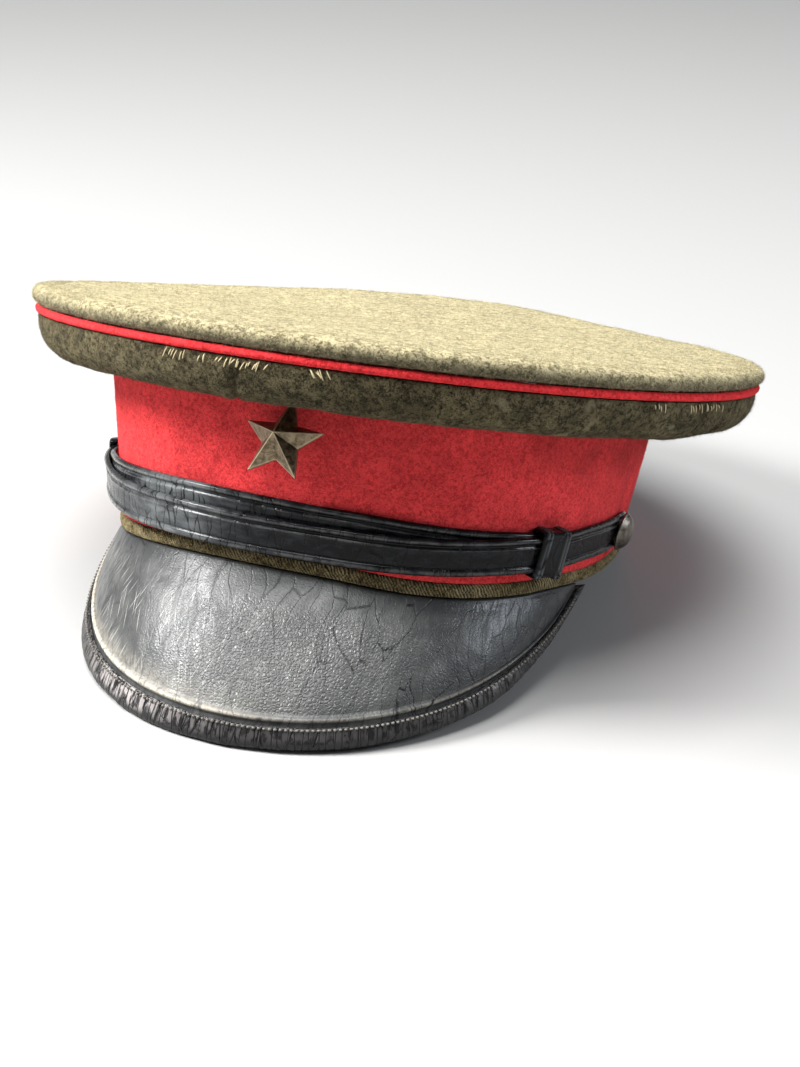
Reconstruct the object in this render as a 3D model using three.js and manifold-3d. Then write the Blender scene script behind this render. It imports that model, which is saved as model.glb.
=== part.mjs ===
// A traditional visor cap in wool and leather, resting on a level surface.
//
// The cap is shaped in its own frame: the back of the band's bottom edge lies in z = 0, the front
// of the cap points along -Y and the wearer's left is +X. An angle round the head is 0 at the
// front and +90 degrees at the wearer's left. The finished cap is then tipped back until the
// visor's edge and the back of the band both touch the surface below it.
// All lengths are in millimetres.

import * as THREE from 'three';
import { mergeVertices } from 'three/addons/utils/BufferGeometryUtils.js';
import Module from 'manifold-3d';

const wasm = await Module();
wasm.setup();

// ---------------------------------------------------------------- driving dimensions

const GAP = 0.3; // clearance between touching pieces
const CLOTH = 2.2; // wall of the wool pieces
const STEPS_ROUND = 56; // facets round the head

// Band: the outside of its bottom edge is a superellipse.
const BAND_HALF_LENGTH = 100;
const BAND_HALF_WIDTH = 81.8;
const BAND_SQUARENESS = 2.34;
const BAND_HEIGHT = 53.6;
const BAND_FLARE_SIDE = 0.16; // outwards for each millimetre up
const BAND_FLARE_FRONT = 0.07;
const BAND_FRONT_RISE = 6.8; // the bottom edge arches up over the brow
const BAND_TOP_RISE = 9.5; // the top edge is higher at the front and lower at the back
const WELT_HEIGHT = 4.1;
const WELT_PROUD = 0.7;

// Crown: two half ellipses that share their width, drawn along the piping.
const CROWN_HALF_WIDTH = 124.1;
const CROWN_RIGHT_NARROWING = 3.0; // off the half width on the wearer's right
const CROWN_FRONT = 129.3;
const CROWN_BACK = 131.6;
const CROWN_SETBACK = 1.8;
const PIPING_HEIGHT = 69.0;
const PIPING_FRONT_RISE = 7.1;
const PIPING_SADDLE = 1.2;
const PIPING_RADIUS = 1.4;
const PANEL_SAG = 6.3; // how far the side panel's pull lies below the band's top edge
const TOP_DISH = 2.5;
const TOP_BACK_THINNING = 0.12; // the rolled rim is lower at the back

// Visor: its raised line runs from one end to the other, half a turn of a flattened arc.
const VISOR_END_ANGLE = 76;
const VISOR_HALF_SPAN = 79.4;
const VISOR_END_SETBACK = 30.4;
const VISOR_REACH = 107.3;
const VISOR_REACH_ROUND = -7.7;
const VISOR_DROP = 48.0;
const VISOR_DROP_ROUND = 15.1;
const VISOR_END_HEIGHT = 1.25;
const VISOR_TUCK = 2.2; // extra drop that takes the ends below the welt
const VISOR_LEATHER = 2.0;
const VISOR_BULGE = 2.2;
const EDGE_WIDTH = 9.7; // from the raised line to the outside of the binding
const EDGE_WIDTH_SKEW = 0.15; // share of it gained on the wearer's right and lost on the left
const SHEET_EDGE = 7.9; // from the raised line to the edge of the leather inside the binding
const EDGE_SLOPE = 77; // degrees below level
const EDGE_END_ANGLE = 80.5;
const STEPS_VISOR = 40;

// Chin strap: two layers, each with a bead along both edges.
const STRAP_WIDTH = 12.2;
const STRAP_LEATHER = 1.3;
const STRAP_BEAD = 0.45;
const STRAP_END = 94;
const STRAP_ROUND_ARC = 4; // degrees over which the button end is rounded off
const BUTTON_ANGLE = 90;
const BUTTON_RADIUS = 6.8;
const BUTTON_DOME = 4.2;
const SHANK_RADIUS = 1.5;
const SLIDE_ANGLE_LEFT = 58;
const SLIDE_ANGLE_RIGHT = -78;
const SLIDE_HALF_ARC = 4; // degrees round the head
const SLIDE_HEIGHT = 15.8;
const SLIDE_LEATHER = 1.0;

// Star badge.
const STAR_RADIUS = 13.8;
const STAR_INNER = 0.46; // inner corners, as a share of the radius
const STAR_APEX = 7.2;
const STAR_SKIRT = 0.6;
const STAR_HEIGHT = 40.7; // above the band's bottom edge
const STAR_ASIDE = 3.1; // towards the wearer's left
const STAR_LEAN = 28; // degrees that its bent pin lets it lean back
const STAR_YAW = 6; // degrees that it is turned towards the wearer's right
const STAR_STANDOFF = 7.3;
const PIN_RADIUS = 0.8;

const PRESSED = 0.7; // how far soft edges are flattened by the surface they rest on

// ---------------------------------------------------------------- short tables

// Waves in the band's bottom edge. [angle, height]
const BAND_EDGE_WAVES = [
  [-110, 0], [-50, 0.4], [-15, 1.2], [8, 0.4], [25, -1.1], [39, -1.1], [55, 0.2], [68, 1.4],
  [90, 0.5], [115, 0],
];

// Waves in the crown's rim, where the old cloth has lost its wire. [angle, height]
const RIM_WAVES = [
  [-180, -0.3], [-150, -0.9], [-120, -2.6], [-90, -1.3], [-60, 0], [60, 0], [90, -0.3],
  [110, -1.1], [130, -1.7], [150, -2.6], [180, -0.3],
];

// Puckers of the side panel, strongest halfway down it. [angle, outwards]
const PANEL_WAVES = [
  [-60, 0], [-40, 0.5], [-28, -0.4], [-16, 0.8], [-5, -1.0], [7, 0.9], [20, -0.3], [32, 0.4],
  [48, 0], [58, -0.7], [67, 0.5], [75, -0.9], [85, 0.3], [110, 0], [150, 0.6], [180, -0.6],
];

// Rolled rim of the top, from its seam to the flat. [out from the piping, up from the piping]
const TOP_ROLL = [
  [0.3, 1.8], [1.8, 2.8], [2.45, 4.5], [1.8, 6.6], [-0.6, 7.7], [-4.5, 7.9],
];
const TOP_RINGS = [0.8, 0.45, 0]; // shares of the way from the middle to the rim

// Middle line of each strap layer. [angle, height above the band's bottom, stand-off]
const INNER_PATH = [
  [-100, 17.0, 0.5], [-84, 16.6, 1.8], [-70, 17.1, 1.8], [-54, 17.5, 0.6], [-20, 16.7, 0.5],
  [4, 15.8, 0.5], [22, 16.0, 0.5], [44, 15.3, 0.9], [52, 15.1, 1.7], [64, 13.9, 1.7],
  [75, 14.2, 0.6], [88, 14.5, 0.5], [100, 14.5, 0.5],
];
const OUTER_PATH = [
  [-100, 17.0, 0.6], [-92, 16.8, 2.0], [-84, 16.6, 4.0], [-70, 16.8, 4.0], [-57, 15.5, 3.0],
  [-47, 13.7, 2.6], [-35, 12.2, 2.6], [-20, 11.0, 2.6], [-5, 10.3, 2.6], [12, 10.9, 2.6],
  [24, 12.0, 2.6], [41, 13.5, 3.0], [52, 14.3, 3.9], [64, 14.2, 3.9],
];

// ---------------------------------------------------------------- helpers

const radians = THREE.MathUtils.degToRad;
const vector = (x, y, z) => new THREE.Vector3(x, y, z);

/** Smooth value from a table of [position, value, value...] rows, read at its given column. */
function readTable(table, position, column = 1) {
  const last = table.length - 1;
  if (position <= table[0][0]) return table[0][column];
  if (position >= table[last][0]) return table[last][column];
  const row = table.findIndex((entry) => entry[0] > position) - 1;
  const [start, end] = [table[row], table[row + 1]];
  const share = (position - start[0]) / (end[0] - start[0]);
  const eased = share * share * (3 - 2 * share);
  const before = table[Math.max(row - 1, 0)];
  const after = table[Math.min(row + 2, last)];
  const span = end[0] - start[0];
  const slopeIn = ((end[column] - before[column]) / (end[0] - before[0])) * span;
  const slopeOut = ((after[column] - start[column]) / (after[0] - start[0])) * span;
  const cube = share * share * share;
  const square = share * share;
  return (
    start[column] + (end[column] - start[column]) * eased
    + slopeIn * (cube - 2 * square + share) + slopeOut * (cube - square)
  );
}

/** A point of a superellipse at an angle in degrees, with its own front and back lengths. */
function superellipse(angle, front, back, halfWidth, squareness) {
  const sine = Math.sin(radians(angle));
  const cosine = Math.cos(radians(angle));
  const power = 2 / squareness;
  const length = cosine > 0 ? front : back;
  return {
    x: halfWidth * Math.sign(sine) * Math.abs(sine) ** power,
    y: -length * Math.sign(cosine) * Math.abs(cosine) ** power,
  };
}

/** The unit normal of a surface given by a function of two numbers. */
function normalOf(surface, u, v, stepU = 0.05, stepV = 0.05) {
  const alongU = surface(u + stepU, v).sub(surface(u - stepU, v));
  const alongV = surface(u, v + stepV).sub(surface(u, v - stepV));
  return alongU.cross(alongV).normalize();
}

/** Turns a list of quadrilaterals and triangles of points into one closed body facing outwards. */
function bodyFromFaces(faces) {
  const corners = [];
  for (const face of faces) {
    for (let k = 1; k < face.length - 1; k += 1) {
      corners.push(face[0], face[k], face[k + 1]);
    }
  }
  const geometry = new THREE.BufferGeometry().setFromPoints(corners);
  const merged = mergeVertices(geometry, 1e-4);
  const index = merged.getIndex().array;
  const kept = [];
  for (let k = 0; k < index.length; k += 3) {
    const [a, b, c] = [index[k], index[k + 1], index[k + 2]];
    if (a !== b && b !== c && c !== a) kept.push(a, b, c);
  }
  if (signedVolume(merged, kept) < 0) {
    for (let k = 0; k < kept.length; k += 3) {
      [kept[k + 1], kept[k + 2]] = [kept[k + 2], kept[k + 1]];
    }
  }
  merged.setIndex(kept);
  return merged;
}

function signedVolume(geometry, index) {
  const position = geometry.getAttribute('position');
  const [a, b, c] = [vector(), vector(), vector()];
  let volume = 0;
  for (let k = 0; k < index.length; k += 3) {
    a.fromBufferAttribute(position, index[k]);
    b.fromBufferAttribute(position, index[k + 1]);
    c.fromBufferAttribute(position, index[k + 2]);
    volume += a.dot(b.cross(c)) / 6;
  }
  return volume;
}

/** Joins closed loops of points, one after another, all the way round or with a cap at each end. */
function loft(loops, closed, capFaces = []) {
  const faces = [];
  const last = closed ? loops.length : loops.length - 1;
  for (let i = 0; i < last; i += 1) {
    const [here, next] = [loops[i], loops[(i + 1) % loops.length]];
    for (let j = 0; j < here.length; j += 1) {
      const k = (j + 1) % here.length;
      faces.push([here[j], here[k], next[k], next[j]]);
    }
  }
  if (!closed) {
    const ends = [loops[0], loops[loops.length - 1]];
    ends.forEach((loop, end) => {
      for (const cap of capFaces) {
        const face = cap.map((corner) => loop[corner]);
        faces.push(end === 0 ? face.reverse() : face);
      }
    });
  }
  return bodyFromFaces(faces);
}

/** Triangles that close a flat section, found from its outline's own two numbers per corner. */
function capOf(outline) {
  const contour = outline.map(([a, b]) => new THREE.Vector2(a, b));
  const faces = THREE.ShapeUtils.triangulateShape(contour, []);
  return THREE.ShapeUtils.isClockWise(contour) ? faces.map((face) => [...face].reverse()) : faces;
}

function toManifold(geometry) {
  const bare = new THREE.BufferGeometry();
  bare.setAttribute('position', geometry.getAttribute('position'));
  bare.setIndex(geometry.getIndex());
  const merged = mergeVertices(bare, 1e-4);
  return new wasm.Manifold(new wasm.Mesh({
    numProp: 3,
    vertProperties: new Float32Array(merged.getAttribute('position').array),
    triVerts: new Uint32Array(merged.getIndex().array),
  }));
}

function fromManifold(solid) {
  const mesh = solid.getMesh();
  const geometry = new THREE.BufferGeometry();
  geometry.setAttribute('position', new THREE.BufferAttribute(mesh.vertProperties, 3));
  geometry.setIndex(new THREE.BufferAttribute(mesh.triVerts, 1));
  return geometry;
}

/** A round rod between two points. */
function rod(from, to, radius, sides = 12) {
  const geometry = new THREE.CylinderGeometry(radius, radius, from.distanceTo(to), sides);
  const axis = to.clone().sub(from).normalize();
  geometry.applyQuaternion(new THREE.Quaternion().setFromUnitVectors(vector(0, 1, 0), axis));
  geometry.translate(...from.clone().add(to).multiplyScalar(0.5).toArray());
  return geometry;
}

/** Cuts a round hole through a body, along a fitting's own axis. */
function drill(geometry, fitting, radius, depth) {
  const from = fitting.at.clone().addScaledVector(fitting.out, depth);
  const to = fitting.at.clone().addScaledVector(fitting.out, -depth);
  return fromManifold(toManifold(geometry).subtract(toManifold(rod(from, to, radius))));
}

// ---------------------------------------------------------------- the cap's main surfaces

/** Outside of the band at an angle and a height measured up the band. */
function bandPoint(angle, height) {
  const share = height / BAND_HEIGHT;
  const lengthways = BAND_HALF_LENGTH + BAND_FLARE_FRONT * height;
  const outline = superellipse(
    angle, lengthways, lengthways, BAND_HALF_WIDTH + BAND_FLARE_SIDE * height, BAND_SQUARENESS,
  );
  const cosine = Math.cos(radians(angle));
  const bottom = BAND_FRONT_RISE * Math.max(cosine, 0) ** 2 + readTable(BAND_EDGE_WAVES, angle);
  return vector(outline.x, outline.y, bottom * (1 - share) + height + BAND_TOP_RISE * cosine * share);
}

/** A point off the band: out along its normal and up by a height. */
function offBand(angle, height, out) {
  const point = bandPoint(angle, height);
  return point.addScaledVector(normalOf(bandPoint, angle, height), out);
}

/** A point by the crown's rim: out and up from the middle of the piping. */
function rimPoint(angle, out, up) {
  const halfWidth = CROWN_HALF_WIDTH - (angle < 0 ? CROWN_RIGHT_NARROWING : 0);
  const outline = superellipse(
    angle, CROWN_FRONT + out, CROWN_BACK + out, halfWidth + out, 2,
  );
  const turn = radians(angle);
  const height = PIPING_HEIGHT + PIPING_FRONT_RISE * Math.cos(turn)
    + PIPING_SADDLE * Math.cos(2 * turn) + readTable(RIM_WAVES, angle);
  return vector(outline.x, outline.y + CROWN_SETBACK, height + up);
}

/** Outside of the side panel, from just below the piping (share 0) to the band (share 1). */
function panelPoint(angle, share) {
  const start = rimPoint(angle, 0.2, -PIPING_RADIUS - GAP);
  const end = bandPoint(angle, BAND_HEIGHT);
  const pull = vector(start.x, start.y, end.z - PANEL_SAG);
  const left = 1 - share;
  const outwards = vector(start.x, start.y, 0).normalize();
  return start.multiplyScalar(left * left)
    .addScaledVector(pull, 2 * left * share)
    .addScaledVector(end, share * share)
    .addScaledVector(outwards, 4 * left * share * readTable(PANEL_WAVES, angle));
}

const anglesRound = Array.from(
  { length: STEPS_ROUND }, (_, step) => -180 + (360 * step) / STEPS_ROUND,
);

// ---------------------------------------------------------------- crown

/** A profile of [out, up] rows moved sideways by a wall, towards the inside of the cap. */
function insideOf(profile, wall) {
  return profile.map((row, k) => {
    const before = profile[Math.max(k - 1, 0)];
    const after = profile[Math.min(k + 1, profile.length - 1)];
    const along = new THREE.Vector2(after[0] - before[0], after[1] - before[1]).normalize();
    return [row[0] - along.y * wall, row[1] + along.x * wall];
  });
}

function crownTop() {
  const innerRoll = insideOf(TOP_ROLL, CLOTH);
  innerRoll[0] = [TOP_ROLL[0][0] - CLOTH, TOP_ROLL[0][1]];
  const middle = vector(0, CROWN_SETBACK, PIPING_HEIGHT + TOP_ROLL.at(-1)[1] - TOP_DISH);
  const seam = TOP_ROLL[0][1];
  const skin = (angle, roll, drop) => {
    const thinning = 1 - TOP_BACK_THINNING * (1 - Math.cos(radians(angle)));
    const thinned = (up) => seam + (up - seam) * thinning;
    const rows = roll.map(([out, up]) => rimPoint(angle, out, thinned(up)));
    const edge = rimPoint(angle, TOP_ROLL.at(-1)[0], thinned(TOP_ROLL.at(-1)[1]));
    for (const share of TOP_RINGS) {
      const point = middle.clone().lerp(edge, share);
      point.z += TOP_DISH * (1 - share) * share - drop;
      rows.push(point);
    }
    return rows;
  };
  const loops = anglesRound.map((angle) => (
    [...skin(angle, TOP_ROLL, 0), ...skin(angle, innerRoll, CLOTH).reverse()]
  ));
  return loft(loops, true);
}

function crownPiping() {
  const sides = 6;
  const loops = anglesRound.map((angle) => Array.from({ length: sides }, (_, side) => {
    const turn = (2 * Math.PI * side) / sides;
    return rimPoint(angle, PIPING_RADIUS * Math.cos(turn), PIPING_RADIUS * Math.sin(turn));
  }));
  return loft(loops, true);
}

function crownSide() {
  const shares = [0, 0.22, 0.45, 0.7, 1];
  const loops = anglesRound.map((angle) => {
    const outside = shares.map((share) => panelPoint(angle, share));
    const inside = shares.map((share) => (
      panelPoint(angle, share).addScaledVector(normalOf(panelPoint, angle, share, 0.05, 0.01), CLOTH)
    ));
    inside[0].z = outside[0].z;
    const seat = offBand(angle, BAND_HEIGHT, -CLOTH);
    const overSeat = seat.clone();
    overSeat.z += CLOTH;
    return [...outside, seat, overSeat, ...inside.reverse()];
  });
  return loft(loops, true);
}

// ---------------------------------------------------------------- band and welt

function band() {
  const heights = [WELT_HEIGHT + GAP, BAND_HEIGHT / 2, BAND_HEIGHT - GAP];
  const loops = anglesRound.map((angle) => [
    ...heights.map((height) => bandPoint(angle, height)),
    ...heights.map((height) => offBand(angle, height, -CLOTH)).reverse(),
  ]);
  return loft(loops, true);
}

function bandWelt() {
  const section = [
    [-CLOTH, 0], [0.1, 0], [WELT_PROUD, 0.9], [WELT_PROUD, 3.3], [0.1, WELT_HEIGHT],
    [-CLOTH, WELT_HEIGHT],
  ];
  return loft(anglesRound.map((angle) => (
    section.map(([out, height]) => offBand(angle, height, out))
  )), true);
}

// ---------------------------------------------------------------- visor

/** The visor's raised line, for a turn from -90 to 90 degrees. */
function ridgePoint(turn) {
  const sine = Math.sin(radians(turn));
  const cosine = Math.cos(radians(turn));
  return vector(
    VISOR_HALF_SPAN * sine,
    -VISOR_END_SETBACK - VISOR_REACH * cosine - VISOR_REACH_ROUND * cosine ** 2,
    VISOR_END_HEIGHT - VISOR_DROP * cosine + VISOR_DROP_ROUND * cosine ** 2
      - VISOR_TUCK * (1 - cosine) ** 6,
  );
}

/** The outer edge: level-out and down from the raised line, and under the welt at the ends. */
function edgePoint(turn) {
  const ridge = ridgePoint(turn);
  const along = ridgePoint(turn + 0.5).sub(ridgePoint(turn - 0.5));
  const out = vector(along.y, -along.x, 0).normalize();
  const slope = radians(EDGE_SLOPE);
  const width = EDGE_WIDTH * (1 - EDGE_WIDTH_SKEW * Math.sin(radians(turn)));
  const free = ridge.clone().addScaledVector(out, width * Math.cos(slope));
  free.z -= width * Math.sin(slope);
  const tucked = offBand(Math.sign(turn) * EDGE_END_ANGLE, 0, -0.6);
  tucked.z = ridgePoint(90).z;
  const offset = tucked.sub(ridgePoint(Math.sign(turn) * 90));
  const blend = THREE.MathUtils.smoothstep(Math.abs(turn), 58, 90);
  return free.lerp(ridge.clone().add(offset), blend);
}

/** Top of the visor: 0 under the welt, 1 at the welt's edge, 2 at the raised line, 3 at the edge. */
function visorPoint(turn, share) {
  const angle = (VISOR_END_ANGLE * turn) / 90;
  const root = offBand(angle, 0, 0.4 - CLOTH);
  const lip = offBand(angle, 0, 0.5);
  root.z -= GAP + 0.05;
  lip.z -= GAP + 0.2;
  const ridge = ridgePoint(turn);
  if (share <= 1) return root.lerp(lip, share);
  if (share >= 2) return ridge.lerp(edgePoint(turn), share - 2);
  const way = share - 1;
  const point = lip.lerp(ridge, way);
  const swell = 4 * VISOR_BULGE * way * (1 - way) * Math.cos(radians(turn));
  const out = normalOf(bandPoint, angle, 0);
  return point.addScaledVector(out.setZ(0.9).normalize(), swell);
}

/** Where a section of the visor's edge puts [share of the edge's width, height off the leather]. */
function edgeSection(turn, outline) {
  const [ridge, edge] = [ridgePoint(turn), edgePoint(turn)];
  const along = ridgePoint(turn + 0.5).sub(ridgePoint(turn - 0.5));
  const up = along.cross(edge.clone().sub(ridge)).normalize().negate();
  return outline.map(([across, height]) => (
    ridge.clone().lerp(edge, across / EDGE_WIDTH).addScaledVector(up, height)
  ));
}

// Sections lie closer together towards the visor's ends.
const visorTurns = Array.from({ length: STEPS_VISOR + 1 }, (_, step) => {
  const way = (2 * step) / STEPS_VISOR - 1;
  return 90 * (1.5 * way - 0.5 * way ** 3);
});

function visor() {
  const ridgeTop = [[-1.2, 0], [0, 0.9], [1.2, 0], [SHEET_EDGE, 0]];
  const ridgeUnder = [[SHEET_EDGE, -VISOR_LEATHER], [0, -VISOR_LEATHER]];
  const shares = [0, 1, 1.3, 1.65];
  const loops = visorTurns.map((turn) => {
    const taper = Math.min(1, (90 - Math.abs(turn)) / 12);
    const top = shares.map((share) => visorPoint(turn, share));
    const under = shares.map((share) => {
      const normal = normalOf(visorPoint, THREE.MathUtils.clamp(turn, -88, 88), share, 0.5, 0.05);
      return visorPoint(turn, share).addScaledVector(normal, VISOR_LEATHER);
    });
    const crest = ridgeTop.map(([across, height]) => [across, height * taper]);
    const edge = edgeSection(turn, crest);
    edge[0] = visorPoint(turn, 1.96);
    return [...top, ...edge, ...edgeSection(turn, ridgeUnder), ...under.reverse()];
  });
  const count = loops[0].length;
  const strips = Array.from({ length: count / 2 - 1 }, (_, k) => (
    [k, k + 1, count - 2 - k, count - 1 - k]
  ));
  return loft(loops, false, strips);
}

function visorBinding() {
  const room = GAP + 0.15;
  const inside = SHEET_EDGE + room;
  const section = [
    [2.3, room], [2.7, 1.3], [7.5, 1.7], [9.1, 1.0], [EDGE_WIDTH, -1.0], [9.1, -2.9], [7.5, -3.7],
    [2.7, -3.3], [2.3, -VISOR_LEATHER - room], [inside, -VISOR_LEATHER - room], [inside, room],
  ];
  return loft(visorTurns.map((turn) => edgeSection(turn, section)), false, capOf(section));
}

// ---------------------------------------------------------------- chin strap

/** Place and directions of a strap layer at an angle: across is up the band, out is off it. */
function strapFrame(path, angle) {
  const middle = (turn) => offBand(turn, readTable(path, turn, 1), readTable(path, turn, 2));
  const at = middle(angle);
  const along = middle(angle + 0.5).sub(middle(angle - 0.5)).normalize();
  const out = normalOf(bandPoint, angle, readTable(path, angle, 1));
  const across = out.clone().cross(along).normalize();
  return { at, along, across, out: along.clone().cross(across).normalize() };
}

/** Angles at which both layers have a section, so that their facets lie side by side. */
function strapAngles(first, last) {
  const pitch = 5;
  const angles = [first];
  for (let turn = Math.ceil((first + 0.8) / pitch) * pitch; turn < last - 0.8; turn += pitch) {
    angles.push(turn);
  }
  angles.push(last);
  for (const near of [0.15, 0.4, 0.7]) {
    if (Math.abs(first) > BUTTON_ANGLE) angles.push(first + near * STRAP_ROUND_ARC);
    if (last > BUTTON_ANGLE) angles.push(last - near * STRAP_ROUND_ARC);
  }
  return angles.sort((a, b) => a - b);
}

function strapLayer(path, first, last, roundFirst) {
  const half = STRAP_WIDTH / 2;
  const face = STRAP_LEATHER;
  const crest = STRAP_LEATHER + STRAP_BEAD;
  const section = [
    [-half, 0.2], [-half + 0.3, crest - 0.1], [-half + 1.0, crest], [-half + 1.9, face],
    [half - 3.0, face], [half - 1.9, face], [half - 1.0, crest], [half - 0.3, crest - 0.1],
    [half, 0.2], [half - 0.4, 0], [-half + 0.4, 0],
  ];
  const loops = strapAngles(first, last).map((angle) => {
    const fromRound = roundFirst ? angle - first : last - angle;
    const share = Math.min(1, fromRound / STRAP_ROUND_ARC);
    const narrowing = Math.sqrt(1 - (0.85 * (1 - share)) ** 2);
    const frame = strapFrame(path, angle);
    return section.map(([across, out]) => frame.at.clone()
      .addScaledVector(frame.across, across * narrowing)
      .addScaledVector(frame.out, out));
  });
  return loft(loops, false, capOf(section));
}

/** A flat leather loop round both strap layers. */
function slide(centreAngle) {
  const crest = STRAP_LEATHER + STRAP_BEAD;
  const room = GAP + 0.1;
  const ring = (angle, thickness) => {
    const [back, front] = [strapFrame(INNER_PATH, angle), strapFrame(OUTER_PATH, angle)];
    const reach = SLIDE_HEIGHT / 2 - SLIDE_LEATHER + thickness;
    const floor = -room - thickness;
    const layers = front.at.clone().sub(back.at).dot(back.out);
    const roof = layers + crest + room + thickness;
    const corner = (across, out) => back.at.clone()
      .addScaledVector(back.across, across).addScaledVector(back.out, out);
    return [
      corner(-reach, floor), corner(reach, floor), corner(reach, roof - 0.5),
      corner(reach - 0.5, roof), corner(-reach + 0.5, roof), corner(-reach, roof - 0.5),
    ];
  };
  const steps = 4;
  const angles = Array.from({ length: steps + 1 }, (_, step) => (
    centreAngle - SLIDE_HALF_ARC + (2 * SLIDE_HALF_ARC * step) / steps
  ));
  const outside = angles.map((angle) => ring(angle, SLIDE_LEATHER));
  const inside = angles.map((angle) => ring(angle, 0));
  const loops = outside[0].map((_, side) => [
    ...outside.map((loop) => loop[side]),
    ...inside.map((loop) => loop[side]).reverse(),
  ]);
  return loft(loops, true);
}

/** Where a button sits: on the outside of the strap layer that it holds. */
function buttonFitting(angle, path) {
  const frame = strapFrame(path, angle);
  const at = frame.at.clone().addScaledVector(frame.out, STRAP_LEATHER + STRAP_BEAD + GAP);
  return { at, out: frame.out };
}

function button(fitting) {
  const profile = [
    [0, -6.2], [SHANK_RADIUS, -6.2], [SHANK_RADIUS, 0], [5.7, 0], [BUTTON_RADIUS, 0.7],
    [5.9, 1.9], [4.5, 3.1], [2.4, 3.95], [0, BUTTON_DOME],
  ].map(([radius, height]) => new THREE.Vector2(radius, height));
  const lathe = new THREE.LatheGeometry(profile, 18);
  const turn = new THREE.Quaternion().setFromUnitVectors(vector(0, 1, 0), fitting.out);
  lathe.applyQuaternion(turn);
  lathe.translate(...fitting.at.toArray());
  return fromManifold(toManifold(lathe));
}

// ---------------------------------------------------------------- star badge

/** Where the badge's pin enters the band, and which way it points. */
function starFitting() {
  const at = bandPoint(0, STAR_HEIGHT).add(vector(STAR_ASIDE, 0, 0));
  return { at, out: vector(0, -1, 0) };
}

function starBadge(fitting) {
  const lean = radians(STAR_LEAN);
  const yaw = radians(STAR_YAW);
  const middle = fitting.at.clone().addScaledVector(fitting.out, STAR_STANDOFF);
  const out = vector(-Math.sin(yaw) * Math.cos(lean), -Math.cos(yaw) * Math.cos(lean), Math.sin(lean));
  const right = vector(Math.cos(yaw), -Math.sin(yaw), 0);
  const up = out.clone().cross(right);
  const corner = (k, height) => {
    const turn = (Math.PI * k) / 5;
    const radius = STAR_RADIUS * (k % 2 === 0 ? 1 : STAR_INNER);
    return middle.clone()
      .addScaledVector(right, radius * Math.sin(turn))
      .addScaledVector(up, radius * Math.cos(turn))
      .addScaledVector(out, height);
  };
  const apex = middle.clone().addScaledVector(out, STAR_APEX + STAR_SKIRT);
  const faces = [];
  for (let k = 0; k < 10; k += 1) {
    faces.push([apex, corner(k + 1, STAR_SKIRT), corner(k, STAR_SKIRT)]);
    faces.push([corner(k, STAR_SKIRT), corner(k + 1, STAR_SKIRT), corner(k + 1, 0), corner(k, 0)]);
    faces.push([middle, corner(k, 0), corner(k + 1, 0)]);
  }
  const pinEnd = fitting.at.clone().addScaledVector(fitting.out, -CLOTH - 1.5);
  const pinStart = middle.clone().addScaledVector(fitting.out, 1.5);
  const pin = toManifold(rod(pinStart, pinEnd, PIN_RADIUS, 10));
  return fromManifold(toManifold(bodyFromFaces(faces)).add(pin));
}

// ---------------------------------------------------------------- assembly

const cap = new THREE.Group();

function addPiece(name, geometry, color, roughness, metalness = 0) {
  geometry.computeVertexNormals();
  const material = new THREE.MeshStandardMaterial({ color, roughness, metalness });
  const mesh = new THREE.Mesh(geometry, material);
  mesh.name = name;
  cap.add(mesh);
  return mesh;
}

const OLIVE = 0x85806a;
const OLIVE_DARK = 0x5d5a48;
const SCARLET = 0xc8202c;
const BLACK = 0x26272a;
const BRONZE = 0x5b4c3a;

const leftButton = buttonFitting(BUTTON_ANGLE, INNER_PATH);
const rightButton = buttonFitting(-BUTTON_ANGLE, OUTER_PATH);
const star = starFitting();
const holeRadius = SHANK_RADIUS + GAP;

let bandBody = drill(band(), leftButton, holeRadius, 12);
bandBody = drill(bandBody, rightButton, holeRadius, 12);
bandBody = drill(bandBody, star, PIN_RADIUS + GAP, 6);

addPiece('crown_top', crownTop(), OLIVE, 0.95);
addPiece('crown_piping', crownPiping(), SCARLET, 0.9);
addPiece('crown_side', crownSide(), OLIVE_DARK, 0.95);
addPiece('band', bandBody, SCARLET, 0.95);
const welt = addPiece('band_welt', bandWelt(), OLIVE, 0.95);
addPiece('visor', visor(), BLACK, 0.45);
const binding = addPiece('visor_binding', visorBinding(), BLACK, 0.4);
addPiece(
  'strap_inner',
  drill(strapLayer(INNER_PATH, -82.5, STRAP_END, false), leftButton, holeRadius, 6), BLACK, 0.3,
);
addPiece(
  'strap_outer',
  drill(strapLayer(OUTER_PATH, -STRAP_END, 60.6, true), rightButton, holeRadius, 6), BLACK, 0.3,
);
addPiece('slide_left', slide(SLIDE_ANGLE_LEFT), BLACK, 0.35);
addPiece('slide_right', slide(SLIDE_ANGLE_RIGHT), BLACK, 0.35);
addPiece('button_left', button(leftButton), BRONZE, 0.4, 0.9);
addPiece('button_right', button(rightButton), BRONZE, 0.4, 0.9);
addPiece('star_badge', starBadge(star), BRONZE, 0.4, 0.9);

/** Lowest point of a mesh once it is tipped back by an angle. */
function lowestPoint(mesh, tilt) {
  const position = mesh.geometry.getAttribute('position');
  const turn = new THREE.Matrix4().makeRotationX(-tilt);
  const lowest = vector(0, 0, Infinity);
  for (let k = 0; k < position.count; k += 1) {
    const point = vector().fromBufferAttribute(position, k).applyMatrix4(turn);
    if (point.z < lowest.z) lowest.copy(point);
  }
  return lowest;
}

/** Tips the cap back until the binding and the welt are equally low. */
function restingTilt() {
  let tilt = 0;
  for (let pass = 0; pass < 12; pass += 1) {
    const [front, rear] = [lowestPoint(binding, tilt), lowestPoint(welt, tilt)];
    tilt += (rear.z - front.z) / (rear.y - front.y);
  }
  return tilt;
}

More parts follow.
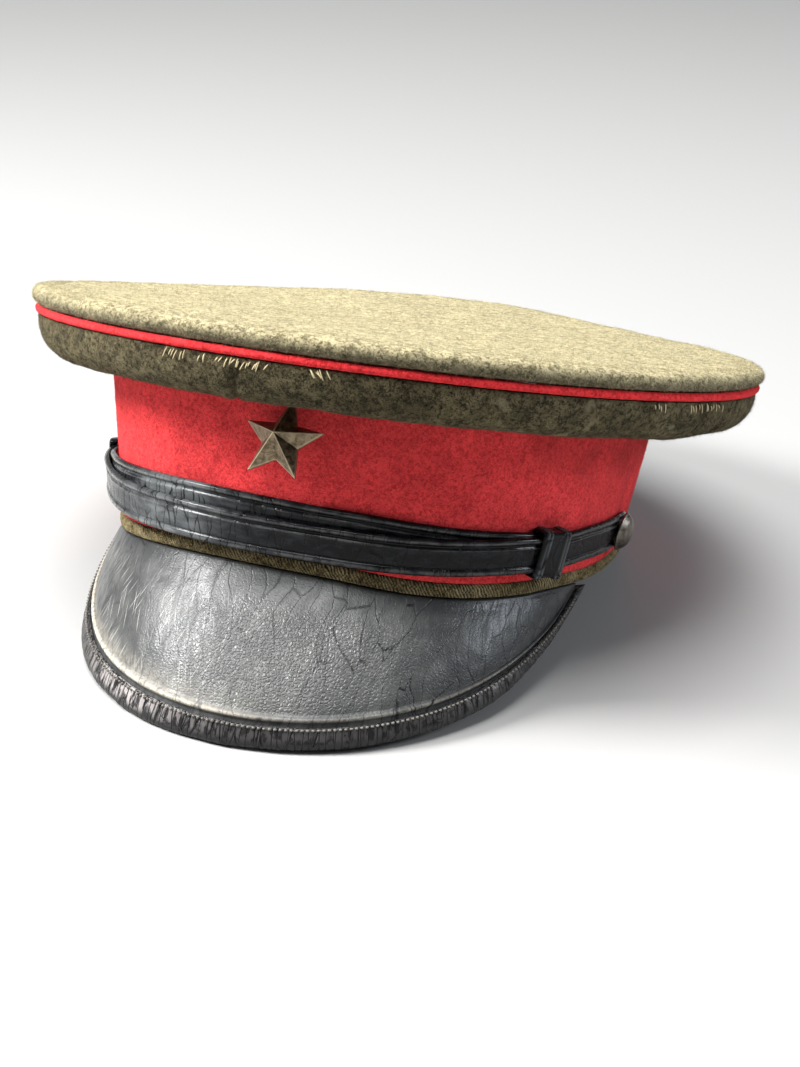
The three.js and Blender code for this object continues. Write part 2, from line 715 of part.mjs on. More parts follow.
/** Flattens the part of a soft piece that would reach below the surface it rests on. */
function pressFlat(mesh) {
  const position = mesh.geometry.getAttribute('position');
  const back = mesh.matrixWorld.clone().invert();
  for (let k = 0; k < position.count; k += 1) {
    const point = vector().fromBufferAttribute(position, k).applyMatrix4(mesh.matrixWorld);
    point.z = Math.max(point.z, 0);
    point.applyMatrix4(back);
    position.setXYZ(k, point.x, point.y, point.z);
  }
}

cap.rotation.x = -restingTilt();
cap.position.z = -lowestPoint(welt, -cap.rotation.x).z - PRESSED;
cap.updateMatrixWorld(true);
const box = new THREE.Box3().setFromObject(cap, true);
cap.position.y = -(box.min.y + box.max.y) / 2;
cap.updateMatrixWorld(true);
pressFlat(welt);
pressFlat(binding);

export default cap;
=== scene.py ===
"""A traditional visor cap in wool and leather: the finish of every surface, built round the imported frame."""

import math

import bmesh
import bpy
import numpy as np
from mathutils import Matrix, Vector


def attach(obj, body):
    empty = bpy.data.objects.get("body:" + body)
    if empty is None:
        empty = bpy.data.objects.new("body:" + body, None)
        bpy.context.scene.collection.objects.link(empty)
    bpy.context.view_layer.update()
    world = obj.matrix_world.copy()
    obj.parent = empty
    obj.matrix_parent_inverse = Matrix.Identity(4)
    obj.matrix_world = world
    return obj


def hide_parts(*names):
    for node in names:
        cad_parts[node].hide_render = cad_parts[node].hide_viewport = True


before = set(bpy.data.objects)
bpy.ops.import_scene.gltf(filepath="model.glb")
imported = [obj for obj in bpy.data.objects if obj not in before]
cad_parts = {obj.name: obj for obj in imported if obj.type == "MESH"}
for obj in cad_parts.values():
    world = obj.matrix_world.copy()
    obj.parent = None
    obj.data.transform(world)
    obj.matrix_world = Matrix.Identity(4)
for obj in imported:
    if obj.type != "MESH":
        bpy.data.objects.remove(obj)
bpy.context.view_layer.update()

# ---------------------------------------------------------------- driving dimensions, in millimetres

MM = 0.001
GAP = 0.3
CLOTH = 2.2
TILT = math.radians(10.2504)  # the cap rests tipped back by this much
SEAT = (0.0, -3.731, 17.121)  # where the cap's own origin lies once it rests

BAND_HALF_LENGTH = 100
BAND_HALF_WIDTH = 81.8
BAND_SQUARENESS = 2.34
BAND_HEIGHT = 53.6
BAND_FLARE_SIDE = 0.16
BAND_FLARE_FRONT = 0.07
BAND_FRONT_RISE = 6.8
BAND_TOP_RISE = 9.5
WELT_HEIGHT = 4.1
WELT_RIB = 1.15  # from one rib to the next

CROWN_HALF_WIDTH = 124.1
CROWN_RIGHT_NARROWING = 3.0  # off the half width on the wearer's right
CROWN_FRONT = 129.3
CROWN_BACK = 131.6
CROWN_SETBACK = 1.8
PIPING_HEIGHT = 69.0
PIPING_FRONT_RISE = 7.1
PIPING_SADDLE = 1.2
PIPING_RADIUS = 1.35
PIPING_TWIST = 2.4  # from one turn of its yarn to the next
PANEL_SAG = 6.3
TOP_DISH = 2.5
TOP_BACK_THINNING = 0.12

VISOR_END_ANGLE = 76
VISOR_HALF_SPAN = 79.4
VISOR_END_SETBACK = 30.4
VISOR_REACH = 107.3
VISOR_REACH_ROUND = -7.7
VISOR_DROP = 48.0
VISOR_DROP_ROUND = 15.1
VISOR_END_HEIGHT = 1.25
VISOR_TUCK = 2.2
VISOR_LEATHER = 2.0
VISOR_BULGE = 2.2
EDGE_WIDTH = 9.7
EDGE_WIDTH_SKEW = 0.15  # share of it gained on the wearer's right and lost on the left
SHEET_EDGE = 7.9
EDGE_SLOPE = math.radians(77)
EDGE_END_ANGLE = 80.5
STITCH_PITCH = 1.6
STITCH_RADIUS = 0.36

STRAP_END = 94
STRAP_ROUND_ARC = 4
BUTTON_ANGLE = 90
BUTTON_RADIUS = 6.8
STRAP_CREST = 1.75
SLIDE_ANGLE_LEFT = 58
SLIDE_ANGLE_RIGHT = -78
SLIDE_HALF_ARC = 4
SLIDE_HEIGHT = 15.8
SLIDE_LEATHER = 0.8

STAR_RADIUS = 13.8
STAR_INNER = 0.46
STAR_APEX = 7.2
STAR_SKIRT = 0.6
STAR_HEIGHT = 40.7
STAR_ASIDE = 3.1
STAR_LEAN = math.radians(28)
STAR_YAW = math.radians(6)
STAR_STANDOFF = 7.3
PIN_RADIUS = 0.8

NAP_RADIUS = 0.055
THREAD_RADIUS = 0.17

# [angle, height] and so on, as on the real cap: waves that age has put into its edges
BAND_EDGE_WAVES = [
    [-110, 0], [-50, 0.4], [-15, 1.2], [8, 0.4], [25, -1.1], [39, -1.1], [55, 0.2], [68, 1.4],
    [90, 0.5], [115, 0],
]
RIM_WAVES = [
    [-180, -0.3], [-150, -0.9], [-120, -2.6], [-90, -1.3], [-60, 0], [60, 0], [90, -0.3],
    [110, -1.1], [130, -1.7], [150, -2.6], [180, -0.3],
]
# [angle, outwards]
PANEL_WAVES = [
    [-60, 0], [-40, 0.5], [-28, -0.4], [-16, 0.8], [-5, -1.0], [7, 0.9], [20, -0.3], [32, 0.4],
    [48, 0], [58, -0.7], [67, 0.5], [75, -0.9], [85, 0.3], [110, 0], [150, 0.6], [180, -0.6],
]
# [row, out from the piping, up from the piping]
TOP_ROLL = [
    [0, 0.3, 1.8], [1, 1.8, 2.8], [2, 2.45, 4.5], [3, 1.8, 6.6], [4, -0.6, 7.7], [5, -4.5, 7.9],
]
# [angle, height above the band's bottom, stand-off]
INNER_PATH = [
    [-100, 17.0, 0.5], [-84, 16.6, 1.8], [-70, 17.1, 1.8], [-54, 17.5, 0.6], [-20, 16.7, 0.5],
    [4, 15.8, 0.5], [22, 16.0, 0.5], [44, 15.3, 0.9], [52, 15.1, 1.7], [64, 13.9, 1.7],
    [75, 14.2, 0.6], [88, 14.5, 0.5], [100, 14.5, 0.5],
]
OUTER_PATH = [
    [-100, 17.0, 0.6], [-92, 16.8, 2.0], [-84, 16.6, 4.0], [-70, 16.8, 4.0], [-57, 15.5, 3.0],
    [-47, 13.7, 2.6], [-35, 12.2, 2.6], [-20, 11.0, 2.6], [-5, 10.3, 2.6], [12, 10.9, 2.6],
    [24, 12.0, 2.6], [41, 13.5, 3.0], [52, 14.3, 3.9], [64, 14.2, 3.9],
]

# ---------------------------------------------------------------- helpers


def read_table(table, position, column=1):
    """Smooth values from a table of [position, value, ...] rows, level past its ends."""
    rows = np.array(table, float)
    x, y = rows[:, 0], rows[:, column]
    before = np.maximum(np.arange(len(x)) - 1, 0)
    after = np.minimum(np.arange(len(x)) + 1, len(x) - 1)
    slope = (y[after] - y[before]) / (x[after] - x[before])
    at = np.clip(np.asarray(position, float), x[0], x[-1])
    k = np.clip(np.searchsorted(x, at, side="right") - 1, 0, len(x) - 2)
    span = x[k + 1] - x[k]
    t = (at - x[k]) / span
    eased = t * t * (3 - 2 * t)
    bend = slope[k] * (t**3 - 2 * t**2 + t) + slope[k + 1] * (t**3 - t**2)
    return y[k] * (1 - eased) + y[k + 1] * eased + span * bend


def read_columns(table, position):
    return [read_table(table, position, column) for column in range(1, len(table[0]))]


def smoothstep(low, high, value):
    t = np.clip((np.asarray(value, float) - low) / (high - low), 0, 1)
    return t * t * (3 - 2 * t)


def bell(value, middle, width):
    return np.exp(-(((np.asarray(value, float) - middle) / width) ** 2))


def unit(vectors):
    length = np.linalg.norm(vectors, axis=-1, keepdims=True)
    return vectors / np.maximum(length, 1e-12)


def stack(x, y, z):
    return np.stack(np.broadcast_arrays(x, y, z), axis=-1).astype(float)


def rest(points):
    """From the cap's own frame in millimetres to where it rests, in metres."""
    x, y, z = np.moveaxis(np.asarray(points, float), -1, 0)
    turned_y = y * math.cos(TILT) + z * math.sin(TILT)
    turned_z = z * math.cos(TILT) - y * math.sin(TILT)
    return stack(x + SEAT[0], turned_y + SEAT[1], turned_z + SEAT[2]) * MM


def lattice(cell, seed):
    """A number from 0 to 1 for each cell of a lattice, always the same."""
    mask = 0xFFFFFFFF
    n = cell[..., 0] * 374761393 + cell[..., 1] * 668265263 + cell[..., 2] * 1440662683
    n = (n + seed * 974711) & mask
    n = ((n ^ (n >> 13)) * 1274126177) & mask
    return ((n ^ (n >> 16)) & 0xFFFF) / 65535


def noise(points, size, seed=1):
    """Smooth noise from -1 to 1 whose lumps are one size across."""
    scaled = np.asarray(points, float) / size
    cell = np.floor(scaled).astype(np.int64)
    share = scaled - cell
    share = share * share * (3 - 2 * share)
    total = 0
    for corner in np.ndindex(2, 2, 2):
        weight = np.prod(np.where(corner, share, 1 - share), axis=-1)
        total = total + weight * lattice(cell + np.array(corner), seed)
    return total * 2 - 1


def lumps(points, sizes, seed=1):
    """Noise of several sizes together, given as {size: amount}."""
    return sum(a * noise(points, s, seed + k) for k, (s, a) in enumerate(sizes.items()))


def grid_normals(points, around=False):
    """Unit normals of a grid of points, which may close on itself along its first side."""
    if around:
        along = np.roll(points, -1, 0) - np.roll(points, 1, 0)
    else:
        along = np.gradient(points, axis=0)
    return unit(np.cross(along, np.gradient(points, axis=1)))


def grid_faces(rows, columns, rows_close, columns_close):
    row_count = rows if rows_close else rows - 1
    column_count = columns if columns_close else columns - 1
    i, j = np.meshgrid(np.arange(row_count), np.arange(column_count), indexing="ij")
    k, m = (i + 1) % rows, (j + 1) % columns
    faces = np.stack([i * columns + j, i * columns + m, k * columns + m, k * columns + j], -1)
    return faces.reshape(-1, 4).tolist()


def ring_faces(points):
    """Faces of a grid of points that closes on itself both ways."""
    return grid_faces(*points.shape[:2], True, True)


def tube_faces(points):
    """Faces of a grid of points that is a tube, with its first and last rows closed by a cap."""
    rows, columns = points.shape[:2]
    first, last = list(range(columns)), list(range((rows - 1) * columns, rows * columns))
    return grid_faces(rows, columns, False, True) + [first[::-1], last]


def enclosed(points, faces):
    """Six times the signed volume inside closed faces."""
    total = 0.0
    by_size = {}
    for face in faces:
        by_size.setdefault(len(face), []).append(face)
    for size, group in by_size.items():
        corners = points[np.array(group)]
        for k in range(1, size - 1):
            cross = np.cross(corners[:, k], corners[:, k + 1])
            total += float((corners[:, 0] * cross).sum())
    return total


def on_outside(values, section):
    """A mask with values on a section's first columns, which are its outside, and 0 on the rest."""
    mask = np.zeros(section.shape[:2])
    mask[:, : np.shape(values)[-1]] = values
    return mask


def build(name, slot, nodes, points, faces, finish=None, smooth=True, weld=False, **masks):
    """A piece that stands for CAD nodes, from points in the cap's own frame and faces, or a function
    that works these out from the points. Masks are numbers kept at each point."""
    faces = faces(points) if callable(faces) else faces
    grid = np.shape(points)[:-1]
    points = rest(points).reshape(-1, 3)
    points[:, 2] = np.maximum(points[:, 2], 0)
    if enclosed(points, faces) < 0:
        faces = [list(face)[::-1] for face in faces]
    mesh = bpy.data.meshes.new(name)
    mesh.from_pydata(points.tolist(), [], faces)
    for key, values in masks.items():
        layer = mesh.attributes.new(key, "FLOAT", "POINT")
        layer.data.foreach_set("value", np.broadcast_to(np.asarray(values, np.float32), grid).ravel())
    if weld:
        solid = bmesh.new()
        solid.from_mesh(mesh)
        bmesh.ops.remove_doubles(solid, verts=solid.verts, dist=1e-7)
        solid.to_mesh(mesh)
        solid.free()
    mesh.polygons.foreach_set("use_smooth", [smooth] * len(mesh.polygons))
    mesh.materials.append(finish or FINISH[slot])
    piece = bpy.data.objects.new(name, mesh)
    bpy.context.scene.collection.objects.link(piece)
    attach(piece, "root")
    if nodes:
        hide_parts(*nodes)


# ---------------------------------------------------------------- the cap's main surfaces


def superellipse(angle, front, back, half_width, squareness):
    turn = np.radians(angle)
    sine, cosine = np.sin(turn), np.cos(turn)
    power = 2 / squareness
    length = np.where(cosine > 0, front, back)
    x = half_width * np.sign(sine) * np.abs(sine) ** power
    return x, -length * np.sign(cosine) * np.abs(cosine) ** power


def band_point(angle, height):
    """Outside of the band at an angle round the head and a height up the band."""
    share = height / BAND_HEIGHT
    length = BAND_HALF_LENGTH + BAND_FLARE_FRONT * height
    width = BAND_HALF_WIDTH + BAND_FLARE_SIDE * height
    x, y = superellipse(angle, length, length, width, BAND_SQUARENESS)
    cosine = np.cos(np.radians(angle))
    bottom = BAND_FRONT_RISE * np.maximum(cosine, 0) ** 2 + read_table(BAND_EDGE_WAVES, angle)
    return stack(x, y, bottom * (1 - share) + height + BAND_TOP_RISE * cosine * share)


def normal_of(surface, u, v, du=0.05, dv=0.05):
    along_u = surface(u + du, v) - surface(u - du, v)
    along_v = surface(u, v + dv) - surface(u, v - dv)
    return unit(np.cross(along_u, along_v))


def off_band(angle, height, out):
    normal = normal_of(band_point, angle, height)
    return band_point(angle, height) + normal * np.asarray(out, float)[..., None]


def rim_point(angle, out, up):
    """A point by the crown's rim: out and up from the middle of the piping."""
    half_width = CROWN_HALF_WIDTH - np.where(np.asarray(angle) < 0, CROWN_RIGHT_NARROWING, 0)
    x, y = superellipse(angle, CROWN_FRONT + out, CROWN_BACK + out, half_width + out, 2)
    turn = np.radians(angle)
    height = PIPING_HEIGHT + PIPING_FRONT_RISE * np.cos(turn)
    height = height + PIPING_SADDLE * np.cos(2 * turn) + read_table(RIM_WAVES, angle)
    return stack(x, y + CROWN_SETBACK, height + up)


def panel_point(angle, share):
    """Outside of the side panel, from just below the piping (0) to the band (1)."""
    start = rim_point(angle, 0.2, -1.4 - GAP)
    end = band_point(angle, BAND_HEIGHT)
    pull = start.copy()
    pull[..., 2] = end[..., 2] - PANEL_SAG
    share = np.asarray(share, float)[..., None]
    outwards = unit(start * np.array([1, 1, 0]))
    wave = read_table(PANEL_WAVES, angle)[..., None]
    left = 1 - share
    return start * left**2 + pull * 2 * left * share + end * share**2 + outwards * 4 * left * share * wave


def ridge_point(turn):
    """The visor's raised line, for a turn from -90 to 90 degrees."""
    sine, cosine = np.sin(np.radians(turn)), np.cos(np.radians(turn))
    return stack(
        VISOR_HALF_SPAN * sine,
        -VISOR_END_SETBACK - VISOR_REACH * cosine - VISOR_REACH_ROUND * cosine**2,
        VISOR_END_HEIGHT - VISOR_DROP * cosine + VISOR_DROP_ROUND * cosine**2
        - VISOR_TUCK * (1 - cosine) ** 6,
    )


def edge_point(turn):
    """The visor's outer edge, which goes under the welt at its ends."""
    ridge = ridge_point(turn)
    along = ridge_point(turn + 0.5) - ridge_point(turn - 0.5)
    out = unit(stack(along[..., 1], -along[..., 0], 0 * along[..., 0]))
    width = EDGE_WIDTH * (1 - EDGE_WIDTH_SKEW * np.sin(np.radians(turn)))
    free = ridge + out * (width * math.cos(EDGE_SLOPE))[..., None]
    free[..., 2] -= width * math.sin(EDGE_SLOPE)
    side = np.sign(turn)
    tucked = off_band(side * EDGE_END_ANGLE, np.zeros_like(turn), np.full_like(turn, -0.6))
    tucked[..., 2] = ridge_point(np.full_like(turn, 90.0))[..., 2]
    blend = smoothstep(58, 90, np.abs(turn))[..., None]
    return free * (1 - blend) + (ridge + tucked - ridge_point(side * 90)) * blend


def visor_point(turn, share):
    """Top of the visor: 0 under the welt, 1 at the welt's edge, 2 at the raised line."""
    angle = VISOR_END_ANGLE * turn / 90
    nought = np.zeros_like(turn)
    root = off_band(angle, nought, nought + 0.4 - CLOTH)
    lip = off_band(angle, nought, nought + 0.5)
    root[..., 2] -= GAP + 0.05
    lip[..., 2] -= GAP + 0.2
    under = np.clip(share, 0, 1)[..., None]
    way = np.clip(share - 1, 0, 1)[..., None]
    point = (root * (1 - under) + lip * under) * (share <= 1)[..., None]
    open_part = lip * (1 - way) + ridge_point(turn) * way
    swell = 4 * VISOR_BULGE * way * (1 - way) * np.cos(np.radians(turn))[..., None]
    out = normal_of(band_point, angle, nought)
    out[..., 2] = 0.9
    return point + (open_part + unit(out) * swell) * (share > 1)[..., None]


def edge_section(turn, across, height):
    """Places on the visor's edge: across from the raised line, and a height off the leather."""
    ridge, edge = ridge_point(turn), edge_point(turn)
    along = ridge_point(turn + 0.5) - ridge_point(turn - 0.5)
    up = -unit(np.cross(along, edge - ridge))
    share = np.asarray(across, float)[..., None] / EDGE_WIDTH
    return ridge * (1 - share) + edge * share + up * np.asarray(height, float)[..., None]


def strap_frame(path, angle):
    """Place and directions of a strap layer: along it, across it and out from the head."""

    def middle(turn):
        return off_band(turn, *read_columns(path, turn))

    at = middle(angle)
    along = unit(middle(angle + 0.5) - middle(angle - 0.5))
    out = normal_of(band_point, angle, read_table(path, angle, 1))
    across = unit(np.cross(out, along))
    return at, along, across, unit(np.cross(along, across))


def even_angles(curve, count, first=-180.0, last=180.0, closed=True):
    """Angles that lie evenly along a curve, and the distance along it at each."""
    fine = np.linspace(first, last, 7201)
    points = curve(fine)
    steps = np.linalg.norm(np.diff(points, axis=0), axis=1)
    length = np.concatenate([[0], np.cumsum(steps)])
    wanted = np.linspace(0, length[-1], count + 1 if closed else count)
    wanted = wanted[:-1] if closed else wanted
    return np.interp(wanted, length, fine), wanted


# ---------------------------------------------------------------- materials


class Value:
    """What a node gives at each place of a surface. Arithmetic on it adds nodes."""

    def __init__(self, look, socket):
        self.look, self.socket = look, socket

    def __add__(self, other):
        return self.look.math("ADD", self, other)

    def __sub__(self, other):
        return self.look.math("SUBTRACT", self, other)

    def __rsub__(self, other):
        return self.look.math("SUBTRACT", other, self)

    def __mul__(self, other):
        return self.look.math("MULTIPLY", self, other)


class Look:
    """A procedural material, built node by node. Its colours are linear."""

    def __init__(self, name, **settings):
        self.material = bpy.data.materials.new(name)
        self.material.use_nodes = True
        self.tree = self.material.node_tree
        self.surface = self.tree.nodes["Principled BSDF"]
        for key, value in settings.items():
            self.feed(self.surface.inputs[key.replace("_", " ")], value)
        self.place = self.node("TexCoord", "Object", {})

    def feed(self, socket, value):
        if isinstance(value, Value):
            self.tree.links.new(value.socket, socket)
        elif isinstance(value, tuple):
            socket.default_value = (*value, 1.0)[: len(socket.default_value)]  # a colour needs its alpha
        else:
            socket.default_value = value

    def node(self, kind, output, inputs, **settings):
        node = self.tree.nodes.new("ShaderNode" + kind)
        for key, value in settings.items():
            setattr(node, key, value)
        for key, value in inputs.items():
            self.feed(node.inputs[key], value)
        return Value(self, node.outputs[output])

    def mask(self, name):
        return self.node("Attribute", "Fac", {}, attribute_name=name)

    def math(self, operation, a, b):
        return self.node("Math", 0, {0: a, 1: b}, operation=operation)

    def span(self, value, low, high, to_low=0.0, to_high=1.0):
        """A smooth step: to_low where the value is low, and to_high where it is high."""
        ends = {"From Min": low, "From Max": high, "To Min": to_low, "To Max": to_high}
        return self.node("MapRange", "Result", {"Value": value, **ends}, interpolation_type="SMOOTHSTEP")

    def mix(self, share, a, b, how="MIX"):
        inputs = {"Factor": share, "A": a, "B": b}
        return self.node("Mix", "Result", inputs, data_type="RGBA", blend_type=how)

    def joined(self, x, y, z=0.0):
        return self.node("CombineXYZ", 0, {0: x, 1: y, 2: z})

    def stretched(self, vector, scale):
        return self.node("VectorMath", 0, {0: vector, 1: scale}, operation="MULTIPLY")

    def noise(self, size, detail=2.0, rough=0.55, distortion=0.0, at=None):
        """Noise whose lumps are `size` units of its coordinates across."""
        inputs = {"Vector": at or self.place, "Scale": 1 / size, "Detail": detail}
        return self.node("TexNoise", "Fac", {**inputs, "Roughness": rough, "Distortion": distortion})

    def cells(self, size, feature="F1", at=None, output="Distance"):
        inputs = {"Vector": at or self.place, "Scale": 1 / size}
        return self.node("TexVoronoi", output, inputs, feature=feature)

    def edges(self, size, at=None):
        """How far each place lies from the nearest edge between two cells."""
        return self.cells(size, "DISTANCE_TO_EDGE", at)

    def painted(self, color, *coats):
        """A colour under others, each given as how much of it shows and the colour."""
        for share, coat in coats:
            color = self.mix(share, color, coat)
        return color

    def relief(self, *layers):
        """The surface's direction under layers of relief, each a height and its depth in millimetres."""
        under = {}
        for height, depth in layers:
            inputs = {"Strength": 1.0, "Distance": depth * MM, "Height": height, **under}
            under = {"Normal": self.node("Bump", "Normal", inputs)}
        return under["Normal"]

    def done(self, color, normal=None, roughness=None):
        for key, value in (("Base Color", color), ("Normal", normal), ("Roughness", roughness)):
            if value is not None:
                self.feed(self.surface.inputs[key], value)
        return self.material


def wool(name, dark, light, straw, relief=1.0, mottle=0.16, pit_shade=0.7):
    """Napped woollen cloth: fine fibre, flecks and broad mottling, painted shade in the low places of its
    relief, a shade mask that darkens or lightens it, and worn where its worn mask says.
    """
    sheen = {"Sheen_Weight": 0.25, "Sheen_Roughness": 0.45, "Sheen_Tint": straw}
    look = Look(name, Roughness=1.0, Specular_IOR_Level=0.08, **sheen)
    clump = look.noise(2.3 * MM, 2.0, 0.55, 0.6)
    fleck = look.noise(0.95 * MM, 3.0, 0.65, 1.0)
    fibre = look.noise(0.36 * MM, 2.0, 0.6, 1.6)
    broad = look.noise(11 * MM, 3.0, 0.6)
    nap = fleck * 0.55 + fibre * 0.3 + clump * 0.15
    color = look.painted(
        dark,
        (look.span(nap, 0.42, 0.55), light),
        (look.span(fibre, 0.60, 0.72, 0.0, 0.6), straw),
        # painted shade: darker in the low places of the fine fleck relief
        (look.span(fleck, 0.28, 0.40, pit_shade, 0.0), look.mix(0.6, dark, (0.0, 0.0, 0.0))),
    )
    # painted shade in the low places of the clump relief, and a little painted light on its tops
    hollow_shade = look.span(clump, 0.32, 0.58, 1 - 0.4 * pit_shade * relief, 1.0 + 0.08 * pit_shade * relief)
    shade = (look.mask("shade") + look.span(broad, 0.3, 0.7, 1 - mottle, 1 + mottle)) * hollow_shade
    color = look.mix(1.0, color, look.joined(shade, shade, shade), "MULTIPLY")
    color = look.mix(look.mask("worn"), color, straw)
    return look.done(color, look.relief((clump, 0.5 * relief), (fleck, 0.6 * relief), (fibre, 0.3 * relief)))


def visor_look():
    """Old black leather: a pebbled middle with a painted sheen, long cracks towards the edge, scratches and
    dust, and painted shade towards the wearer's left end and by the welt.
    """
    look = Look("leather_visor", Specular_IOR_Level=0.36)
    along, across, grain_and_sheen = look.mask("along"), look.mask("across"), look.mask("grain")
    flat = look.joined(along, across)
    drift = look.noise(26.0, 1.0, 0.5, at=flat)
    kink = look.noise(3.0, 2.0, 0.6, at=flat)
    bent = look.joined(along + (drift * 12.0 + kink * 1.0), across)
    long_line = look.span(look.edges(1.0, look.stretched(bent, (0.16, 0.030, 1))), 0.004, 0.026, 1.0, 0.0)
    fine_line = look.span(look.edges(1.0, look.stretched(bent, (0.36, 0.15, 1))), 0.0, 0.045, 1.0, 0.0)
    fine_line = fine_line * look.span(look.noise(15.0, 2.0, 0.6, at=flat), 0.52, 0.62)
    cracked = look.mask("cracked")
    crack = look.math("MAXIMUM", long_line * cracked, fine_line * cracked * 0.4)
    pebble = look.span(look.edges(1.15 * MM), 0.0, 0.30)
    grain = (pebble + look.noise(1.1 * MM, 2.0, 0.6)) * grain_and_sheen
    scratch = 0.0
    for turn in (0.22, -0.38):
        beside = along * math.cos(turn) - across * math.sin(turn)
        ahead = along * math.sin(turn) + across * math.cos(turn)
        at = look.joined(beside * 1.7, ahead * 0.045, turn)
        line = look.span(look.cells(1.0, at=at), 0.12, 0.30, 1.0, 0.0)
        kept = look.span(look.cells(1.0, at=at, output="Color"), 0.56, 0.64)
        scratch = look.math("MAXIMUM", scratch, line * kept)
    scratch = scratch * look.mask("scratch")
    streak = look.noise(1.0, 3.0, 0.6, at=look.stretched(bent, (0.30, 0.035, 1)))
    cloud = look.noise(13.0, 4.0, 0.6, at=flat)
    dust = look.mask("worn") * look.span(look.noise(1.5 * MM, 3.0, 0.65), 0.3, 0.6, 0.3, 1.0)
    color = look.painted(
        (0.034, 0.036, 0.036),
        (look.span(cloud, 0.3, 0.7), (0.088, 0.090, 0.085)),
        (look.span(streak, 0.42, 0.70, 0.0, 0.6), (0.012, 0.012, 0.013)),
        # painted sheen: the pebbled middle lighter
        (grain_and_sheen * 0.45, (0.15, 0.152, 0.146)),
        (scratch * 0.8, (0.42, 0.41, 0.385)),
        # painted shade: darker towards the wearer's left end and by the welt
        (look.mask("dim"), (0.010, 0.011, 0.012)),
        (dust, (0.44, 0.40, 0.33)),
        (crack, (0.004, 0.004, 0.005)),
    )
    fine = look.noise(0.5 * MM, 2.0, 0.6)
    normal = look.relief((fine, 0.06), (grain, 0.22), (scratch, 0.02), (1.0 - crack, 0.05))
    return look.done(color, normal, look.span(streak, 0.35, 0.7, 0.30, 0.46) + dust * 0.35)


def binding_look():
    """The strip folded round the visor's edge: crossways plates, and flaked patches."""
    look = Look("leather_binding", Specular_IOR_Level=0.3)
    flat = look.joined(look.mask("along"), look.mask("across"))
    line = look.span(look.edges(1.0, look.stretched(flat, (0.42, 0.11, 1))), 0.0, 0.08, 1.0, 0.0)
    patch = look.noise(2.4, 4.0, 0.7, 0.6, at=flat)
    flaked = look.span(patch, 0.44, 0.53) * look.mask("worn")
    color = look.painted(
        (0.004, 0.004, 0.0045),
        (look.noise(3.0, 3.0, 0.6, at=flat), (0.022, 0.021, 0.021)),
        (flaked, (0.30, 0.275, 0.265)),
        (line, (0.002, 0.002, 0.002)),
    )
    fine = look.noise(0.6, 2.0, 0.6, at=flat)
    normal = look.relief((fine, 0.06), (1.0 - line, 0.22), (flaked, 0.15))
    return look.done(color, normal, look.span(patch, 0.3, 0.7, 0.2, 0.42))


def patent_look(name):
    """Glossy black patent leather, finely cracked across, with a grey painted sheen and painted highlights
    where its sheen mask says.
    """
    look = Look(name, Specular_IOR_Level=0.07, Coat_Weight=0.15, Coat_Roughness=0.12)
    along, across = look.mask("along"), look.mask("across")
    flat = look.joined(along, across)
    bent = look.joined(along + look.noise(4.0, 2.0, 0.5, at=flat) * 1.6, across)
    cracks = look.edges(1.0, look.stretched(bent, (0.30, 0.05, 1)))
    fade = look.span(look.noise(11.0, 2.0, 0.6, at=flat), 0.36, 0.5)
    line = look.span(cracks, 0.0, 0.05, 1.0, 0.0) * fade
    smear = look.noise(2.6, 4.0, 0.62, 0.5, at=look.stretched(flat, (0.4, 1.0, 1)))
    # painted sheen: grey in streaks where the sheen mask says
    haze = look.mask("hazed") * look.span(smear, 0.25, 0.6, 0.35, 1.0)
    rubbed = look.mask("worn") * look.span(smear, 0.4, 0.6)
    color = look.painted(
        (0.0018, 0.002, 0.0026),
        (look.span(smear, 0.4, 0.72), (0.010, 0.011, 0.013)),
        (haze, (0.21, 0.225, 0.23)),
        (line, (0.001, 0.001, 0.001)),
        (rubbed, (0.30, 0.27, 0.23)),
    )
    normal = look.relief((smear, 0.05), (1.0 - line, 0.12))
    return look.done(color, normal, look.span(smear, 0.35, 0.7, 0.16, 0.32))


def bronze_look(name, base, bright):
    """Dark bronze, rubbed bright where its mask says."""
    look = Look(name, Metallic=1.0)
    grime = look.noise(1.6 * MM, 4.0, 0.65, 0.5)
    brushed = look.noise(0.5 * MM, 2.0, 0.6, at=look.stretched(look.place, (1, 1, 0.25)))
    rubbed = look.mix(0.35, base, bright)
    color = look.painted(base, (look.span(grime, 0.35, 0.68), rubbed), (look.mask("worn"), bright))
    normal = look.relief((grime, 0.06), (brushed, 0.05))
    return look.done(color, normal, look.span(grime, 0.3, 0.7, 0.34, 0.5))


def thread_look(name, base, bright):
    look = Look(name, Roughness=0.85, Specular_IOR_Level=0.2)
    strand = look.noise(0.25 * MM, 2.0, 0.6)
    return look.done(look.mix(strand, base, bright), look.relief((strand, 0.08)))


